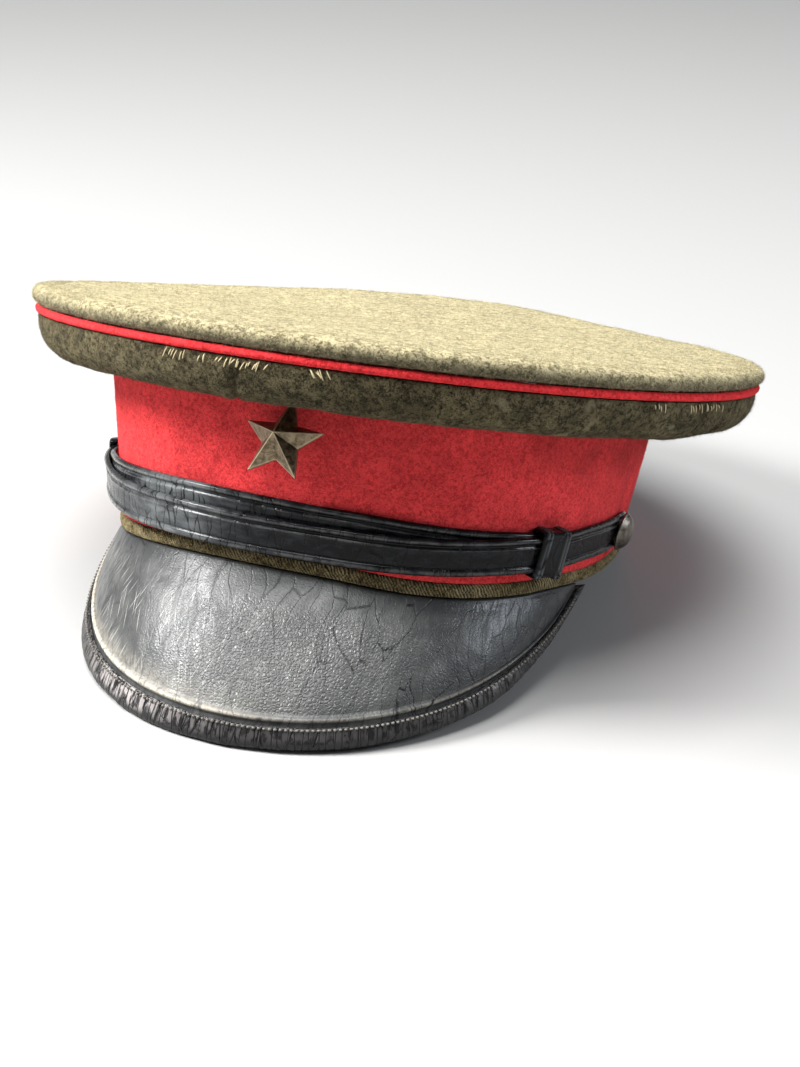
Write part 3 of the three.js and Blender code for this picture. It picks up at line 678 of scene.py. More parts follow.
# The finish of each material slot
FINISH = {
    "crown_wool": wool(
        "wool_crown_top", (0.20, 0.165, 0.085), (0.60, 0.525, 0.315), (0.84, 0.76, 0.51), 1.5, 0.1, 0.5
    ),
    "side_wool": wool(
        "wool_crown_side", (0.014, 0.011, 0.006), (0.145, 0.120, 0.065), (0.48, 0.42, 0.26), 1.6, 0.3
    ),
    "band_wool": wool(
        "wool_band", (0.54, 0.028, 0.032), (0.82, 0.060, 0.064), (1.0, 0.19, 0.18), 0.8, 0.08, 0.18
    ),
    "piping_wool": wool(
        "wool_piping", (0.50, 0.02, 0.024), (0.82, 0.045, 0.05), (0.95, 0.12, 0.11), 0.6, 0.1, 0.4
    ),
    "welt_wool": wool("wool_welt", (0.030, 0.022, 0.010), (0.20, 0.155, 0.075), (0.50, 0.43, 0.26), 0.8),
    "visor_leather": visor_look(),
    "binding_leather": binding_look(),
    "strap_leather": patent_look("leather_strap"),
    "slide_leather": patent_look("leather_slide"),
    "button_metal": bronze_look("bronze_button", (0.10, 0.085, 0.07), (0.42, 0.38, 0.33)),
    "badge_metal": bronze_look("bronze_badge", (0.085, 0.064, 0.040), (0.62, 0.50, 0.33)),
}
visor_thread = thread_look("thread_visor", (0.05, 0.047, 0.042), (0.30, 0.28, 0.25))
crown_thread = thread_look("thread_crown", (0.40, 0.33, 0.17), (0.85, 0.74, 0.47))

# ---------------------------------------------------------------- crown

CROWN_STEPS = 620  # round the crown
PIPING_STEPS = 900
PANEL_STEPS = 38  # down the side panel
TOP_FLAT_ROW = 40  # a row of the top's grid that lies on its flat part


def rim_middle(angle):
    return rim_point(angle, 0.0, 0.0)


def inside_of(profile, wall):
    """A profile of (out, up) points moved by a wall towards the inside of the crown."""
    along = unit(np.gradient(profile, axis=0))
    return profile + np.stack([-along[:, 1], along[:, 0]], -1) * wall


def crown_top():
    angle, _ = even_angles(rim_middle, CROWN_STEPS)
    rows = np.linspace(0, 5, 26)
    roll = np.stack(read_columns(TOP_ROLL, rows), -1)
    shares = 1 - np.linspace(0, 1, 44)[1:]
    _, seam_out, seam = TOP_ROLL[0]
    roll_end = np.array([TOP_ROLL[-1][1:]])
    middle = np.array([0, CROWN_SETBACK, PIPING_HEIGHT + roll_end[0, 1] - TOP_DISH])
    thinning = 1 - TOP_BACK_THINNING * (1 - np.cos(np.radians(angle)))

    def rolled(profile):
        up = seam + (profile[None, :, 1] - seam) * thinning[:, None]
        return rim_point(angle[:, None], profile[None, :, 0], up)

    def skin(profile, drop, ring_shares):
        share = ring_shares[None, :, None]
        disc = middle * (1 - share) + rolled(roll_end) * share
        disc[..., 2] += (TOP_DISH * (1 - share) * share)[..., 0] - drop
        return np.concatenate([rolled(profile), disc], 1)

    outer = skin(roll, 0.0, shares)
    inner_roll = inside_of(roll, CLOTH)[::5]
    inner_roll[0] = (seam_out - CLOTH, seam)
    inner = skin(inner_roll, CLOTH, shares[::6])
    normals = grid_normals(outer, around=True)
    normals *= np.sign(normals[:, TOP_FLAT_ROW : TOP_FLAT_ROW + 1, 2:3])
    up = np.concatenate([roll[:, 1], np.full(len(shares), 9.0)])
    depth = lumps(outer, {26: 0.35, 9: 0.16, 3.2: 0.16}, 5) * smoothstep(1.9, 3.2, up)
    moved = outer + normals * depth[..., None]
    section = np.concatenate([moved, inner[:, ::-1]], 1)
    rim = bell(up, 4.2, 2.2) * (0.5 + 0.5 * noise(outer, 7, 21))
    worn = 0.18 * np.clip(rim, 0, 1) * smoothstep(0.1, 0.8, noise(outer, 5, 22))
    # painted shade: the rolled edge darker low down, where it curls under towards the piping
    build(
        "crown_top_wool", "crown_wool", ["crown_top"], section, ring_faces, weld=True,
        shade=on_outside(-0.68 * smoothstep(7.9, 3.0, up), section), worn=on_outside(worn, section),
    )
    return moved, normals, up


def crown_piping():
    angle, along = even_angles(rim_middle, PIPING_STEPS)
    turn = np.radians(np.arange(0, 360, 30))[None, :]
    a = angle[:, None] + 0 * turn
    fuzz = noise(rim_middle(a) + 3 * stack(np.cos(turn), np.sin(turn), 0 * a), 1.6, 31)
    twist = np.sin(along[:, None] * 2 * math.pi / PIPING_TWIST + turn)
    radius = PIPING_RADIUS + 0.07 * fuzz + 0.06 * twist
    points = rim_point(a, radius * np.cos(turn), radius * np.sin(turn))
    build("crown_piping_cord", "piping_wool", ["crown_piping"], points, ring_faces, shade=0.0, worn=0.0)


# Creases of the side panel. [angle at the piping, angle at the band, from share, to share, depth, width]
PANEL_CREASES = [
    [-3.2, -5.2, 0.05, 0.95, 0.95, 0.5],
    [-43, -38, 0.10, 0.55, 0.45, 0.9],
    [31.5, 31.0, 0.10, 0.40, 0.55, 1.0],
    [57, 59, 0.05, 0.60, 0.6, 1.2],
    [71, 74, 0.02, 0.70, 1.0, 1.1],
    [79, 81, 0.05, 0.75, 0.8, 1.2],
    [-121, -118, 0.05, 0.60, 0.6, 1.2],
    [176, 177, 0.05, 0.90, 0.9, 0.8],
]


def panel_inwards(angle, share):
    return normal_of(panel_point, angle, share, 0.05, 0.005)


def crown_side():
    angle, _ = even_angles(rim_middle, CROWN_STEPS)
    shares = np.linspace(0, 1, PANEL_STEPS)
    a, s = np.meshgrid(angle, shares, indexing="ij")
    outer = panel_point(a, s)
    normals = -panel_inwards(a, s)
    middle = np.clip(4 * s * (1 - s), 0, 1) ** 0.5
    depth = lumps(outer, {17: 0.45, 7: 0.22, 3: 0.16}, 41) * middle
    creases = np.zeros_like(depth)
    for at_top, at_band, start, end, deep, wide in PANEL_CREASES:
        line = at_top + (at_band - at_top) * s + 0.5 * noise(outer, 6, 47)
        strength = smoothstep(start - 0.06, start + 0.06, s) * smoothstep(end + 0.1, end - 0.1, s)
        beside = bell(a, line - 2.6 * wide, 2.0 * wide) + bell(a, line + 2.6 * wide, 2.0 * wide)
        creases += deep * (bell(a, line, wide) - 0.32 * beside) * strength
    outer = outer + normals * (depth - creases)[..., None]
    a_inner, s_inner = np.meshgrid(angle, shares[::6], indexing="ij")
    inner = panel_point(a_inner, s_inner) + panel_inwards(a_inner, s_inner) * CLOTH
    inner[:, 0, 2] = outer[:, 0, 2]
    seat = off_band(angle, np.full_like(angle, BAND_HEIGHT), np.full_like(angle, -CLOTH))[:, None]
    over = seat + np.array([0, 0, CLOTH])
    section = np.concatenate([outer, seat, over, inner[:, ::-1]], 1)
    # painted shade: darker in the creases and just below the piping
    shade = -0.55 * np.clip(creases, 0, 1) - 0.1 * smoothstep(0.1, 0.0, s)
    worn = 0.35 * smoothstep(0.25, 0.8, noise(outer, 2.2, 51)) * smoothstep(-0.1, 0.5, noise(outer, 14, 52))
    build(
        "crown_side_wool", "side_wool", ["crown_side"], section, ring_faces,
        shade=on_outside(shade, section), worn=on_outside(worn, section),
    )
    return outer, normals


# ---------------------------------------------------------------- band and welt

BAND_STEPS = 560
WELT_STEPS = 4200  # enough to round each rib


def band():
    angle, _ = even_angles(lambda a: band_point(a, 20.0), BAND_STEPS)
    heights = np.linspace(WELT_HEIGHT + 0.2, BAND_HEIGHT - GAP, 44)
    a, h = np.meshgrid(angle, heights, indexing="ij")
    outer = band_point(a, h)
    normals = normal_of(band_point, a, h)
    inland = smoothstep(4.2, 8, h) * smoothstep(53.4, 50, h)
    outer = outer + normals * (lumps(outer, {30: 0.3, 10: 0.1, 3: 0.1}, 61) * inland)[..., None]
    a_inner, h_inner = np.meshgrid(angle, heights[[0, 14, 28, -1]], indexing="ij")
    inner = off_band(a_inner, h_inner, np.full_like(h_inner, -CLOTH))
    section = np.concatenate([outer, inner[:, ::-1]], 1)
    build(
        "band_wool", "band_wool", ["band"], section, ring_faces,
        shade=on_outside(0.16 * lumps(outer, {11: 1.0, 4: 0.5}, 65), section), worn=0.0,
    )
    return outer, normals


# Outside of the welt. [row, out, height]
WELT_SECTION = [
    [0, 0.1, 0.0], [1, 0.62, 0.5], [2, 0.85, 1.4], [3, 0.85, 2.6], [4, 0.6, 3.5], [5, 0.1, WELT_HEIGHT],
]


def band_welt():
    angle, along = even_angles(lambda a: band_point(a, 2.0), WELT_STEPS)
    rows = np.linspace(0, 5, 11)
    out, height = read_columns(WELT_SECTION, rows)
    a = angle[:, None]
    h = height + 0 * a
    base = band_point(a, h)
    fray = noise(base, 2.5, 71)
    slanted = along[:, None] + height * 0.7 + 0.45 * noise(base, 1.5, 72)
    rib = np.abs(np.sin(slanted * math.pi / WELT_RIB))
    swell = (0.55 * (rib - 0.6) + 0.2 * fray) * smoothstep(0.1, 0.6, out)
    ends = np.array([WELT_HEIGHT, 0.0]) + 0 * a
    inner = off_band(a + 0 * ends, ends, np.full_like(ends, -CLOTH))
    section = np.concatenate([off_band(a + 0 * h, h, out + swell), inner], 1)
    worn = 0.5 * smoothstep(0.75, 1.0, rib) * smoothstep(-0.2, 0.6, noise(base, 5, 73))
    # painted shade in the grooves between the ribs and painted light on their tops, with random tone from the
    # fray
    build(
        "band_welt_edge", "welt_wool", ["band_welt"], section, ring_faces,
        shade=on_outside(1.5 * (rib - 0.70) + 0.3 * fray, section), worn=on_outside(worn, section),
    )


# ---------------------------------------------------------------- visor

VISOR_STEPS = 420
VISOR_FACE = 52  # what the mask "across" reads at the raised line, from 0 at the welt
visor_turns, visor_along = even_angles(ridge_point, VISOR_STEPS, -90.0, 90.0, closed=False)
visor_along = visor_along - visor_along[-1] / 2

# The raised line and the edge below it. [across from the raised line, height off the leather]
RIDGE_SECTION = [
    [-1.0, 0.22], [-0.7, 0.5], [-0.4, 0.78], [0, 0.92], [0.4, 0.8], [0.7, 0.5], [1.0, 0.15], [1.3, -0.05],
    [1.8, -0.05], [2.6, 0.0], [5.0, 0.0], [SHEET_EDGE, 0.0],
]


def visor():
    shares = np.concatenate([[0, 0.5, 1], np.linspace(1, 1.965, 74)[1:]])
    t, s = np.meshgrid(visor_turns, shares, indexing="ij")
    top = visor_point(t, s)
    lift = grid_normals(top)
    lift *= np.sign(lift[..., 2:3])
    open_share = smoothstep(1.02, 1.15, s) * smoothstep(1.97, 1.8, s)
    top = top + lift * (lumps(top, {18: 0.35, 6: 0.12, 2.5: 0.05}, 81) * open_share)[..., None]
    taper = np.minimum(1, (90 - np.abs(visor_turns)) / 12)[:, None]
    crest = np.array(RIDGE_SECTION)
    turns = visor_turns[:, None]
    edge = edge_section(turns + 0 * crest[:, 0], crest[:, 0] + 0 * turns, crest[:, 1] * taper)
    below = np.array([SHEET_EDGE, 3.0, 0.0]) + 0 * turns
    under_edge = edge_section(turns + 0 * below, below, -VISOR_LEATHER + 0 * below)
    t_under, s_under = np.meshgrid(visor_turns, [0, 1, 1.15, 1.3, 1.5, 1.7, 1.88], indexing="ij")
    down = normal_of(visor_point, np.clip(t_under, -88, 88), np.maximum(s_under, 1.06), 0.5, 0.05)
    under = visor_point(t_under, s_under) + down * VISOR_LEATHER
    section = np.concatenate([top, edge, under_edge, under[:, ::-1]], 1)
    across = np.full(section.shape[:2], -30.0)
    across[:, : len(shares)] = (s - 1) * VISOR_FACE
    across[:, len(shares) : len(shares) + len(crest)] = VISOR_FACE + crest[:, 0]
    along = visor_along[:, None] + 0 * across
    side = along / visor_along[-1]  # -1 at the wearer's right end, 1 at the left
    way = np.clip(across / VISOR_FACE, 0, 1.2)
    middling = smoothstep(0.15, 0.45, way) * smoothstep(1.02, 0.86, way)
    cracked = 0.5 + 0.5 * smoothstep(0.05, 0.45, side) + 0.45 * bell(way, 0.1, 0.22)
    near_ridge = 0.85 * bell(way, 1.0, 0.017) * smoothstep(0.16, -0.18, side) * smoothstep(-1.0, -0.75, side)
    haze = 0.34 * bell(way, 0.96, 0.085) * smoothstep(0.2, -0.3, side)
    thin = 0.35 * bell(way, 1.005, 0.012) * smoothstep(0.95, 0.5, np.abs(side))
    # painted shade: darker towards the wearer's left end and by the welt
    dim = 0.75 * smoothstep(0.22, 0.62, side) + 0.55 * bell(way, 0.0, 0.14)
    build(
        "visor_leather", "visor_leather", ["visor"], section, tube_faces,
        # the grain mask also marks where a painted sheen lightens the pebbled middle
        along=along, across=across, grain=0.10 + 0.90 * bell(side, 0.12, 0.20) * middling,
        scratch=bell(side, -0.38, 0.36) * smoothstep(0.08, 0.3, way) * smoothstep(1.0, 0.85, way),
        cracked=np.clip(cracked - 0.25 * bell(side, -0.7, 0.3), 0, 1), dim=np.clip(dim, 0, 0.85),
        worn=np.clip(near_ridge + haze + thin, 0, 1) * smoothstep(53.2, 52.2, across),
    )


# Outside of the binding, across from the raised line. [row, across, height off the leather]
BINDING_SECTION = [
    [0, 2.3, 0.3], [1, 2.45, 0.95], [2, 3.0, 1.3], [3, 7.0, 1.75], [4, 9.1, 1.0], [5, EDGE_WIDTH, -1.0],
    [6, 9.1, -2.9], [7, 7.0, -3.7], [8, 3.0, -3.3], [9, 2.4, -2.6],
]
BINDING_MIDDLE = (5.0, -1.0)
BINDING_ROUND_STEPS = 30
BINDING_STEPS = 900


def visor_binding():
    turns, along = even_angles(ridge_point, BINDING_STEPS, -90.0, 90.0, closed=False)
    along = (along - along[-1] / 2)[:, None]
    rows = np.linspace(0, 9, BINDING_ROUND_STEPS)
    across, height = read_columns(BINDING_SECTION, rows)
    across = np.append(across, [SHEET_EDGE + 0.4, SHEET_EDGE + 0.4])
    height = np.append(height, [-VISOR_LEATHER - 0.4, 0.4])
    t = turns[:, None] + 0 * across
    swell = lumps(stack(along, across, 0 * t), {9: 0.16, 2.2: 0.10, 1.1: 0.05}, 91)
    swell[:, BINDING_ROUND_STEPS:] = 0
    away = unit(np.stack([across, height], -1) - BINDING_MIDDLE)
    points = edge_section(t, across + away[:, 0] * swell, height + away[:, 1] * swell)
    worn = (0.95 * bell(along / along[-1], -0.27, 0.15) + 0.10) * smoothstep(8.4, 6.0, across)
    build(
        "visor_binding_strip", "binding_leather", ["visor_binding"], points, tube_faces,
        along=along, across=np.append(np.linspace(0, 16, BINDING_ROUND_STEPS), [17, 18]), worn=worn,
    )


def pills(name, slot, finish, starts, ends, ups, radius, sides=6):
    """Short round threads with rounded ends, joined into one piece."""
    share = np.array([0, 0.06, 0.25, 0.5, 0.75, 0.94, 1.0])[:, None, None]
    girth = np.array([0.25, 0.7, 1.0, 1.0, 1.0, 0.7, 0.25])[:, None, None] * radius
    starts, ends, ups = (np.asarray(each)[:, None, None] for each in (starts, ends, ups))
    aside = unit(np.cross(unit(ends - starts), ups))
    ups = np.cross(aside, unit(ends - starts))
    turn = np.linspace(0, 2 * math.pi, sides, endpoint=False)[:, None]
    middle = starts + (ends - starts) * share + ups * radius * 1.2 * 4 * share * (1 - share)
    points = middle + (aside * np.cos(turn) + ups * np.sin(turn)) * girth
    size = len(share) * sides
    base = tube_faces(points[0])
    faces = [[k * size + corner for corner in face] for k in range(len(points)) for face in base]
    build(name, slot, [], points, faces, finish)


STITCH_ACROSS, STITCH_HEIGHT = 3.05, 1.32
STITCHED_SHARE = 0.97  # of the raised line's length


def visor_stitching():
    length = visor_along[-1] - visor_along[0]
    count = int(length * STITCHED_SHARE / STITCH_PITCH)
    at = (np.arange(count) - count / 2) * STITCH_PITCH
    first = np.interp(at, visor_along, visor_turns)
    last = np.interp(at + STITCH_PITCH * 0.6, visor_along, visor_turns)
    across, height = np.full(count, STITCH_ACROSS), np.full(count, STITCH_HEIGHT)
    starts, ends = edge_section(first, across, height), edge_section(last, across, height)
    ups = edge_section(first, across, height + 1) - starts
    pills("visor_stitching", "binding_leather", visor_thread, starts, ends, ups, STITCH_RADIUS)


# ---------------------------------------------------------------- chin strap

# Face of the strap from its lower edge to its upper one, and its flat back. [across, out]
STRAP_SECTION = [
    [-6.1, 0.25], [-6.05, 0.8], [-5.8, 1.35], [-5.3, 1.72], [-4.6, 1.8], [-4.0, 1.66], [-3.7, 1.35],
    [-3.55, 1.18], [-3.3, 1.2], [-3.1, 1.38], [-2.8, 1.44], [-1.0, 1.42], [1.2, 1.42], [2.3, 1.46],
    [2.62, 1.56], [2.85, 1.42], [3.05, 1.08], [3.75, 1.0], [4.0, 1.2], [4.3, 1.58], [4.9, 1.78],
    [5.4, 1.72], [5.8, 1.42], [6.05, 0.8], [6.1, 0.25], [5.6, 0.0], [0.0, 0.0], [-5.6, 0.0],
]


STRAP_STEPS = 420


def strap_layer(name, node, path, first, last, round_first):
    width, rise = np.array(STRAP_SECTION).T
    angle, along = even_angles(lambda a: strap_frame(path, a)[0], STRAP_STEPS, first, last, closed=False)
    at, _, across, out = (each[:, None] for each in strap_frame(path, angle))
    angle, along = angle[:, None], along[:, None]
    from_round = angle - first if round_first else last - angle
    share = np.minimum(1, np.maximum(from_round, 0) / STRAP_ROUND_ARC)
    narrowing = np.sqrt(1 - (0.85 * (1 - share)) ** 2)
    place = stack(along, width, 0)
    face = rise > 0.2
    wave = (0.06 * noise(place, 12, 101) + 0.03 * noise(place, 3, 102)) * face
    points = at + across * (width * narrowing)[..., None] + out * (rise + wave)[..., None]
    crests = bell(width, -4.9, 0.5) + bell(width, 4.9, 0.4) + 0.6 * bell(width, 2.6, 0.2)
    streaks = 0.6 + 0.4 * noise(place * (1, 2.5, 1), 6, 103)
    # painted sheen on the strap's face at the wearer's right front, and painted highlights along its crests
    hazed = (0.8 * bell(angle, -24, 13) + 0.35 * bell(angle, -52, 10)) * streaks * face + 0.22 * crests
    build(
        name, "strap_leather", [node], points, tube_faces,
        along=along, across=width, worn=(0.55 * bell(angle, -58, 16) + 0.14) * crests,
        hazed=np.clip(hazed, 0, 1),
    )


SLIDE_RIMS = (5.0, 3.6)  # from the slide's middle
SLIDE_THIN_EDGE = 0.35


def slide(name, node, centre):
    """A leather loop round both layers, with two raised rims along each side."""
    room = GAP + 0.1
    angle = np.linspace(centre - SLIDE_HALF_ARC, centre + SLIDE_HALF_ARC, 41)
    back_at, _, across, out = (each[:, None] for each in strap_frame(INNER_PATH, angle))
    front_at = strap_frame(OUTER_PATH, angle)[0][:, None]
    layers = ((front_at - back_at) * out).sum(-1)
    steps = np.linalg.norm(np.diff(back_at[:, 0], axis=0), axis=1)
    distance = np.concatenate([[0], np.cumsum(steps)])[:, None]
    distance = distance - distance[-1] / 2
    rims = sum(bell(distance, side * place, 0.42) for side in (-1, 1) for place in SLIDE_RIMS)
    turn = np.radians(np.arange(0, 360, 5))
    squared = 2 / 7  # the power that rounds the loop's corners

    def ring(thickness):
        reach = SLIDE_HEIGHT / 2 - 1.0 + thickness
        low, high = -room - np.minimum(thickness, SLIDE_LEATHER), layers + STRAP_CREST + room + thickness
        u = np.sign(np.cos(turn)) * np.abs(np.cos(turn)) ** squared * reach
        v = np.sign(np.sin(turn)) * np.abs(np.sin(turn)) ** squared * (high - low) / 2 + (low + high) / 2
        return back_at + across * u[..., None] + out * v[..., None]

    ends = smoothstep(0, 0.35, distance - distance[0]) * smoothstep(0, 0.35, distance[-1] - distance)
    outside = ring(SLIDE_THIN_EDGE + (SLIDE_LEATHER - SLIDE_THIN_EDGE) * ends + 0.6 * rims)
    section = np.concatenate([outside, ring(0 * distance)[::-1]], 0)
    build(
        name, "slide_leather", [node], section, ring_faces,
        along=np.degrees(turn) / 8, across=np.concatenate([distance, distance[::-1]]),
        # painted highlights along the raised rims
        worn=0.0, hazed=0.5 * np.concatenate([rims, rims[::-1]]),
    )


# Half section of a side button. [radius, height, how worn]
BUTTON_SECTION = [
    [0.02, -1.2, 0], [1.5, -1.2, 0], [1.5, 0.0, 0], [5.8, 0.0, 0], [6.5, 0.12, 0.2],
    [BUTTON_RADIUS, 0.5, 0.6], [6.72, 0.85, 0.5], [6.45, 1.15, 0.1], [6.2, 1.3, 0], [5.95, 1.75, 0],
    [5.3, 2.5, 0], [4.45, 3.15, 0.05], [3.4, 3.65, 0.15], [2.2, 3.98, 0.3], [1.0, 4.16, 0.35],
    [0.02, 4.2, 0.35],
]


def button(name, node, angle, path):
    radius, height, worn = np.array(BUTTON_SECTION).T
    at, _, _, out = (each[0] for each in strap_frame(path, np.array([float(angle)])))
    side = unit(np.cross(out, [0, 0, 1.0]))
    turn = np.radians(np.arange(0, 360, 6))[:, None]
    ring = side * np.cos(turn) + np.cross(side, out) * np.sin(turn)
    points = at + out * (STRAP_CREST + GAP) + ring[:, None] * radius[:, None] + out * height[:, None]
    rounds, count = points.shape[:2]
    faces = grid_faces(rounds, count, True, False)
    faces.append([k * count for k in range(rounds)][::-1])
    faces.append([k * count + count - 1 for k in range(rounds)])
    build(name, "button_metal", [node], points, faces, worn=worn * 0.6)


# ---------------------------------------------------------------- star badge

FACET_STEPS = 22
PIN_SIDES = 12


def star_badge():
    """A five-pointed star of flat facets whose ridges are rounded and rubbed bright."""
    root = band_point(np.array(0.0), np.array(STAR_HEIGHT)) + np.array([STAR_ASIDE, 0, 0])
    middle = root + np.array([0, -STAR_STANDOFF, 0])
    level = math.cos(STAR_LEAN)
    out = np.array([-math.sin(STAR_YAW) * level, -math.cos(STAR_YAW) * level, math.sin(STAR_LEAN)])
    right = np.array([math.cos(STAR_YAW), -math.sin(STAR_YAW), 0])
    up = np.cross(out, right)

    def corner(k, height):
        turn = math.pi * k / 5
        radius = STAR_RADIUS * (1 if k % 2 == 0 else STAR_INNER)
        return middle + right * radius * math.sin(turn) + up * radius * math.cos(turn) + out * height

    apex = middle + out * (STAR_APEX + STAR_SKIRT)
    down = np.linspace(0, 1, FACET_STEPS + 1)[:, None]
    spread = down[:, 0] ** 1.7
    facet = np.array(grid_faces(FACET_STEPS + 1, FACET_STEPS + 1, False, False))
    points, faces, worn = [], [], []
    for k in range(10):
        tip, nook = (k, k + 1) if k % 2 == 0 else (k + 1, k)
        ridge = apex * (1 - down) + corner(tip, STAR_SKIRT) * down
        valley = apex * (1 - down) + corner(nook, STAR_SKIRT) * down
        place = ridge[:, None] * (1 - spread[:, None]) + valley[:, None] * spread[:, None]
        off_ridge = np.linalg.norm(place - ridge[:, None], axis=-1)
        place = place - out * (0.16 * bell(off_ridge, 0, 0.28))[..., None]
        rubbed = bell(off_ridge, 0, 0.34) * (0.75 + 0.25 * down) + 0.45 * bell((1 - down) * 9, 0, 0.35)
        turned = facet if k % 2 == 0 else facet[:, ::-1]
        faces += (turned + len(points)).tolist()
        points += list(place.reshape(-1, 3))
        worn += list(np.minimum(1.0, rubbed).ravel())
    for k in range(10):
        start = len(points)
        points += [corner(k, STAR_SKIRT), corner(k + 1, STAR_SKIRT), corner(k + 1, 0), corner(k, 0), middle]
        worn += [0.5, 0.5, 0.3, 0.3, 0.0]
        faces += [[start, start + 3, start + 2, start + 1], [start + 4, start + 2, start + 3]]
    turn = np.linspace(0, 2 * math.pi, PIN_SIDES, endpoint=False)
    depth = np.array([[1.0], [STAR_STANDOFF + CLOTH + 1.5]])
    pin = middle + stack(PIN_RADIUS * np.cos(turn), depth, PIN_RADIUS * np.sin(turn))
    faces += [[len(points) + corner for corner in face] for face in tube_faces(pin)]
    points += list(pin.reshape(-1, 3))
    worn += [0.0] * (2 * PIN_SIDES)
    build(
        "star_badge_bronze", "badge_metal", ["star_badge"], points, faces, smooth=False, weld=True, worn=worn
    )


# ---------------------------------------------------------------- loose threads and nap

# Places where the seam's thread shows below the piping. [first angle, last angle, threads, lean]
SHOWN_THREADS = [
    [-14.6, -11.2, 6, -0.5], [-9.0, -7.4, 3, -0.4], [-5.8, 1.0, 15, -0.5], [7.4, 9.8, 6, 0.5],
    [58.4, 60.6, 4, 0.4], [66.0, 75.5, 12, 0.5],
]


def crown_threads():
    random = np.random.default_rng(7)
    places, outwards = [], []
    for first, last, count, lean in SHOWN_THREADS:
        for angle in np.linspace(first, last, count) + random.normal(0, 0.3, count):
            share = np.array([random.uniform(0, 0.03), 0.05 + random.uniform(0, 0.05)])
            turn = np.array([angle, angle + lean * random.uniform(0.5, 1.5)])
            outward = -panel_inwards(turn, share)
            places.append(panel_point(turn, share) + outward * 0.35)
            outwards.append(outward[0])
    starts, ends = np.array(places)[:, 0], np.array(places)[:, 1]
    pills("crown_side_threads", "side_wool", crown_thread, starts, ends, outwards, THREAD_RADIUS, 5)


def nap(name, slot, points, normals, count, length, seed, favour=1.0):
    """Short fibres standing off a wool surface, each a slim closed spike."""
    random = np.random.default_rng(seed)
    down, across = np.roll(points, -1, 0)[:, :-1] - points[:, :-1], points[:, 1:] - points[:, :-1]
    area = np.linalg.norm(np.cross(down, across), axis=-1)
    chance = np.cumsum((area * favour).ravel())
    cell = np.searchsorted(chance, random.uniform(0, chance[-1], count))
    i, j = np.unravel_index(cell, area.shape)
    u, v = random.uniform(0, 1, (2, count, 1))
    k = (i + 1) % points.shape[0]
    near = points[i, j] * (1 - u) + points[k, j] * u
    root = near * (1 - v) + (points[i, j + 1] * (1 - u) + points[k, j + 1] * u) * v
    normal = normals[i, j]
    drift = np.stack([noise(root, 2.6, seed + step) for step in (3, 4, 5)], -1)
    lying = drift * 1.6 + random.normal(0, 0.5, (count, 3))
    lying = lying - normal * (lying * normal).sum(-1, keepdims=True)
    direction = unit(normal * random.uniform(0.25, 1.0, (count, 1)) + lying)
    reach = (length * random.uniform(0.5, 1.3, count))[:, None]
    side = unit(np.cross(direction, normal + 0.01))
    over = np.cross(side, direction)
    foot = root - normal * 0.12
    corners = [foot + (side * math.cos(t) + over * math.sin(t)) * NAP_RADIUS for t in (0, 2.094, 4.189)]
    tip = root + direction * reach + random.normal(0, 0.25, (count, 3)) * reach
    spike = np.array([[0, 1, 3], [1, 2, 3], [2, 0, 3], [0, 2, 1]])
    faces = (spike[None] + 4 * np.arange(count)[:, None, None]).reshape(-1, 3).tolist()
    shade = random.uniform(-0.25, 0.35, count)[:, None]
    worn = np.clip(random.normal(0.05, 0.25, count), 0, 0.7)[:, None]
    build(name, slot, [], np.stack([*corners, tip], 1), faces, smooth=False, shade=shade, worn=worn)


# ---------------------------------------------------------------- the whole cap

top_points, top_normals, top_up = crown_top()
crown_piping()
side_points, side_normals = crown_side()
band_points, band_normals = band()
band_welt()
visor()
visor_binding()
visor_stitching()
strap_layer("strap_inner_leather", "strap_inner", INNER_PATH, -82.5, STRAP_END, False)
strap_layer("strap_outer_leather", "strap_outer", OUTER_PATH, -STRAP_END, 60.6, True)
slide("slide_left_loop", "slide_left", SLIDE_ANGLE_LEFT)
slide("slide_right_loop", "slide_right", SLIDE_ANGLE_RIGHT)
button("button_left_dome", "button_left", BUTTON_ANGLE, INNER_PATH)
button("button_right_dome", "button_right", -BUTTON_ANGLE, OUTER_PATH)
star_badge()
crown_threads()
rim_first = 1 + 3.0 * smoothstep(9.0, 7.9, top_up[:-1])
nap("crown_top_nap", "crown_wool", top_points, top_normals, 46000, 0.9, 201, rim_first)
nap("crown_side_nap", "side_wool", side_points, side_normals, 30000, 0.9, 202)
nap("band_nap", "band_wool", band_points, band_normals, 26000, 0.6, 203)

# ---------------------------------------------------------------- floor, light and camera


def floor():
    half = 14.0
    corners = [(-half, -half, 0), (half, -half, 0), (half, half, 0), (-half, half, 0)]
    mesh = bpy.data.meshes.new("floor")
    mesh.from_pydata(corners, [], [(0, 1, 2, 3)])
    plane = bpy.data.objects.new("floor", mesh)
    plane.location.z = -0.0002  # just clear of the cap's lowest faces
    look = Look("pale_floor", Roughness=0.75, Specular_IOR_Level=0.3)
    look.done((0.345, 0.342, 0.336))
    mesh.materials.append(look.material)
    bpy.context.scene.collection.objects.link(plane)


def direction(azimuth, elevation):
    """The way out from the cap: azimuth 0 is to its front and 90 to the wearer's left."""
    a, e = math.radians(azimuth), math.radians(elevation)
    return Vector((math.sin(a) * math.cos(e), -math.cos(a) * math.cos(e), math.sin(e)))


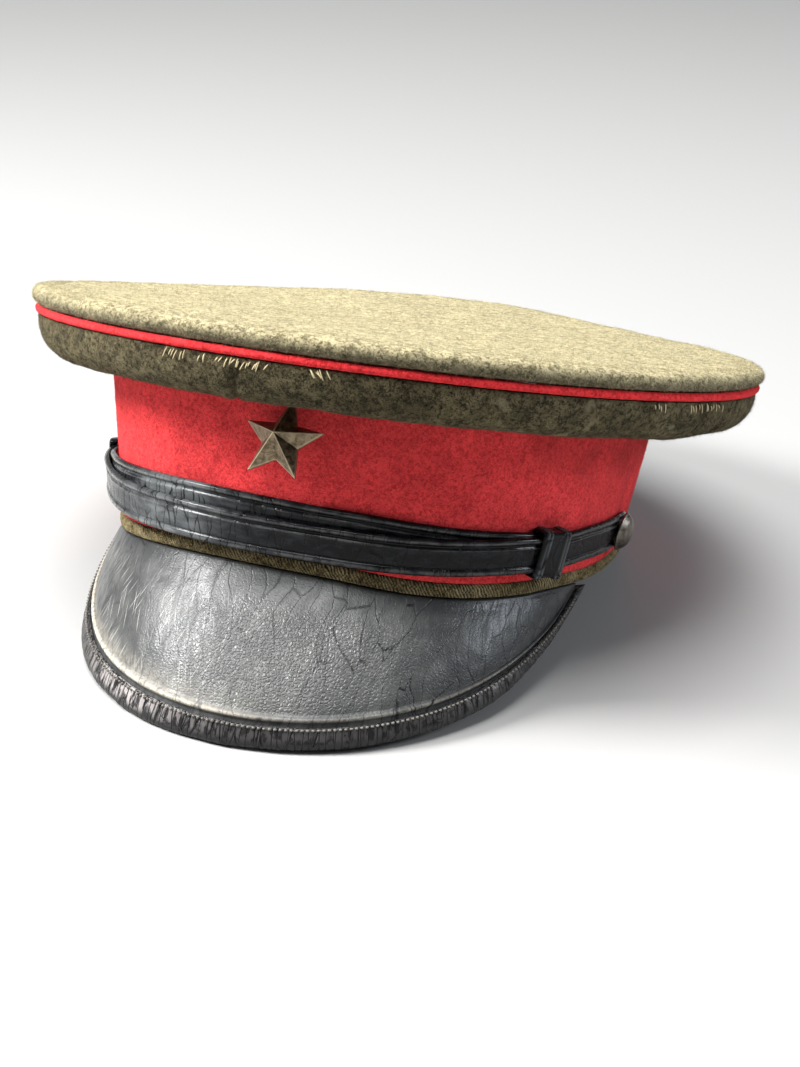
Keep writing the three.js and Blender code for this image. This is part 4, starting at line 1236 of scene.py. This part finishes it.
def softbox(name, azimuth, elevation, distance, size, power, tint=(1, 1, 1)):
    """A square lamp that faces the cap."""
    back = direction(azimuth, elevation)
    lamp = bpy.data.lights.new(name, "AREA")
    lamp.size = size
    lamp.energy = power
    lamp.color = tint
    holder = bpy.data.objects.new(name, lamp)
    holder.location = Vector((0, 0, 0.06)) + back * distance
    holder.rotation_mode = "QUATERNION"
    holder.rotation_quaternion = (-back).to_track_quat("-Z", "Y")
    bpy.context.scene.collection.objects.link(holder)


def lights():
    softbox("overhead", -30, 82, 2.8, 1.9, 150)
    softbox("key", -66, 40, 1.1, 0.34, 27)
    softbox("low", -60, 8, 1.3, 0.4, 1.6, (0.92, 0.96, 1.0))
    softbox("rim", 104, 24, 1.3, 0.35, 7.5, (0.86, 0.92, 1.0))
    world = bpy.data.worlds.new("studio")
    bpy.context.scene.world = world
    world.use_nodes = True
    background = world.node_tree.nodes["Background"]
    background.inputs["Color"].default_value = (0.92, 0.95, 1.0, 1)
    background.inputs["Strength"].default_value = 0.2


CAMERA_AIM = Vector((0.0100, -0.0083, 0.0199))
CAMERA_AZIMUTH = 18.40
CAMERA_ELEVATION = 22.77
CAMERA_ROLL = math.radians(2.215)
CAMERA_DISTANCE = 0.7697
CAMERA_LENS = 74.23  # for the 36 mm long side of the frame


def camera():
    back = direction(CAMERA_AZIMUTH, CAMERA_ELEVATION)
    level = direction(CAMERA_AZIMUTH + 90, 0)
    upright = back.cross(level)
    right = level * math.cos(CAMERA_ROLL) + upright * math.sin(CAMERA_ROLL)
    up = upright * math.cos(CAMERA_ROLL) - level * math.sin(CAMERA_ROLL)
    view = bpy.data.cameras.new("camera")
    view.lens = CAMERA_LENS
    view.clip_start, view.clip_end = 0.01, 50
    holder = bpy.data.objects.new("camera", view)
    turn = Matrix((right, up, back)).transposed().to_4x4()
    holder.matrix_world = Matrix.Translation(CAMERA_AIM + back * CAMERA_DISTANCE) @ turn
    bpy.context.scene.collection.objects.link(holder)
    bpy.context.scene.camera = holder


floor()
lights()
camera()
bpy.context.scene.view_settings.view_transform = "Standard"

bpy.context.view_layer.update()
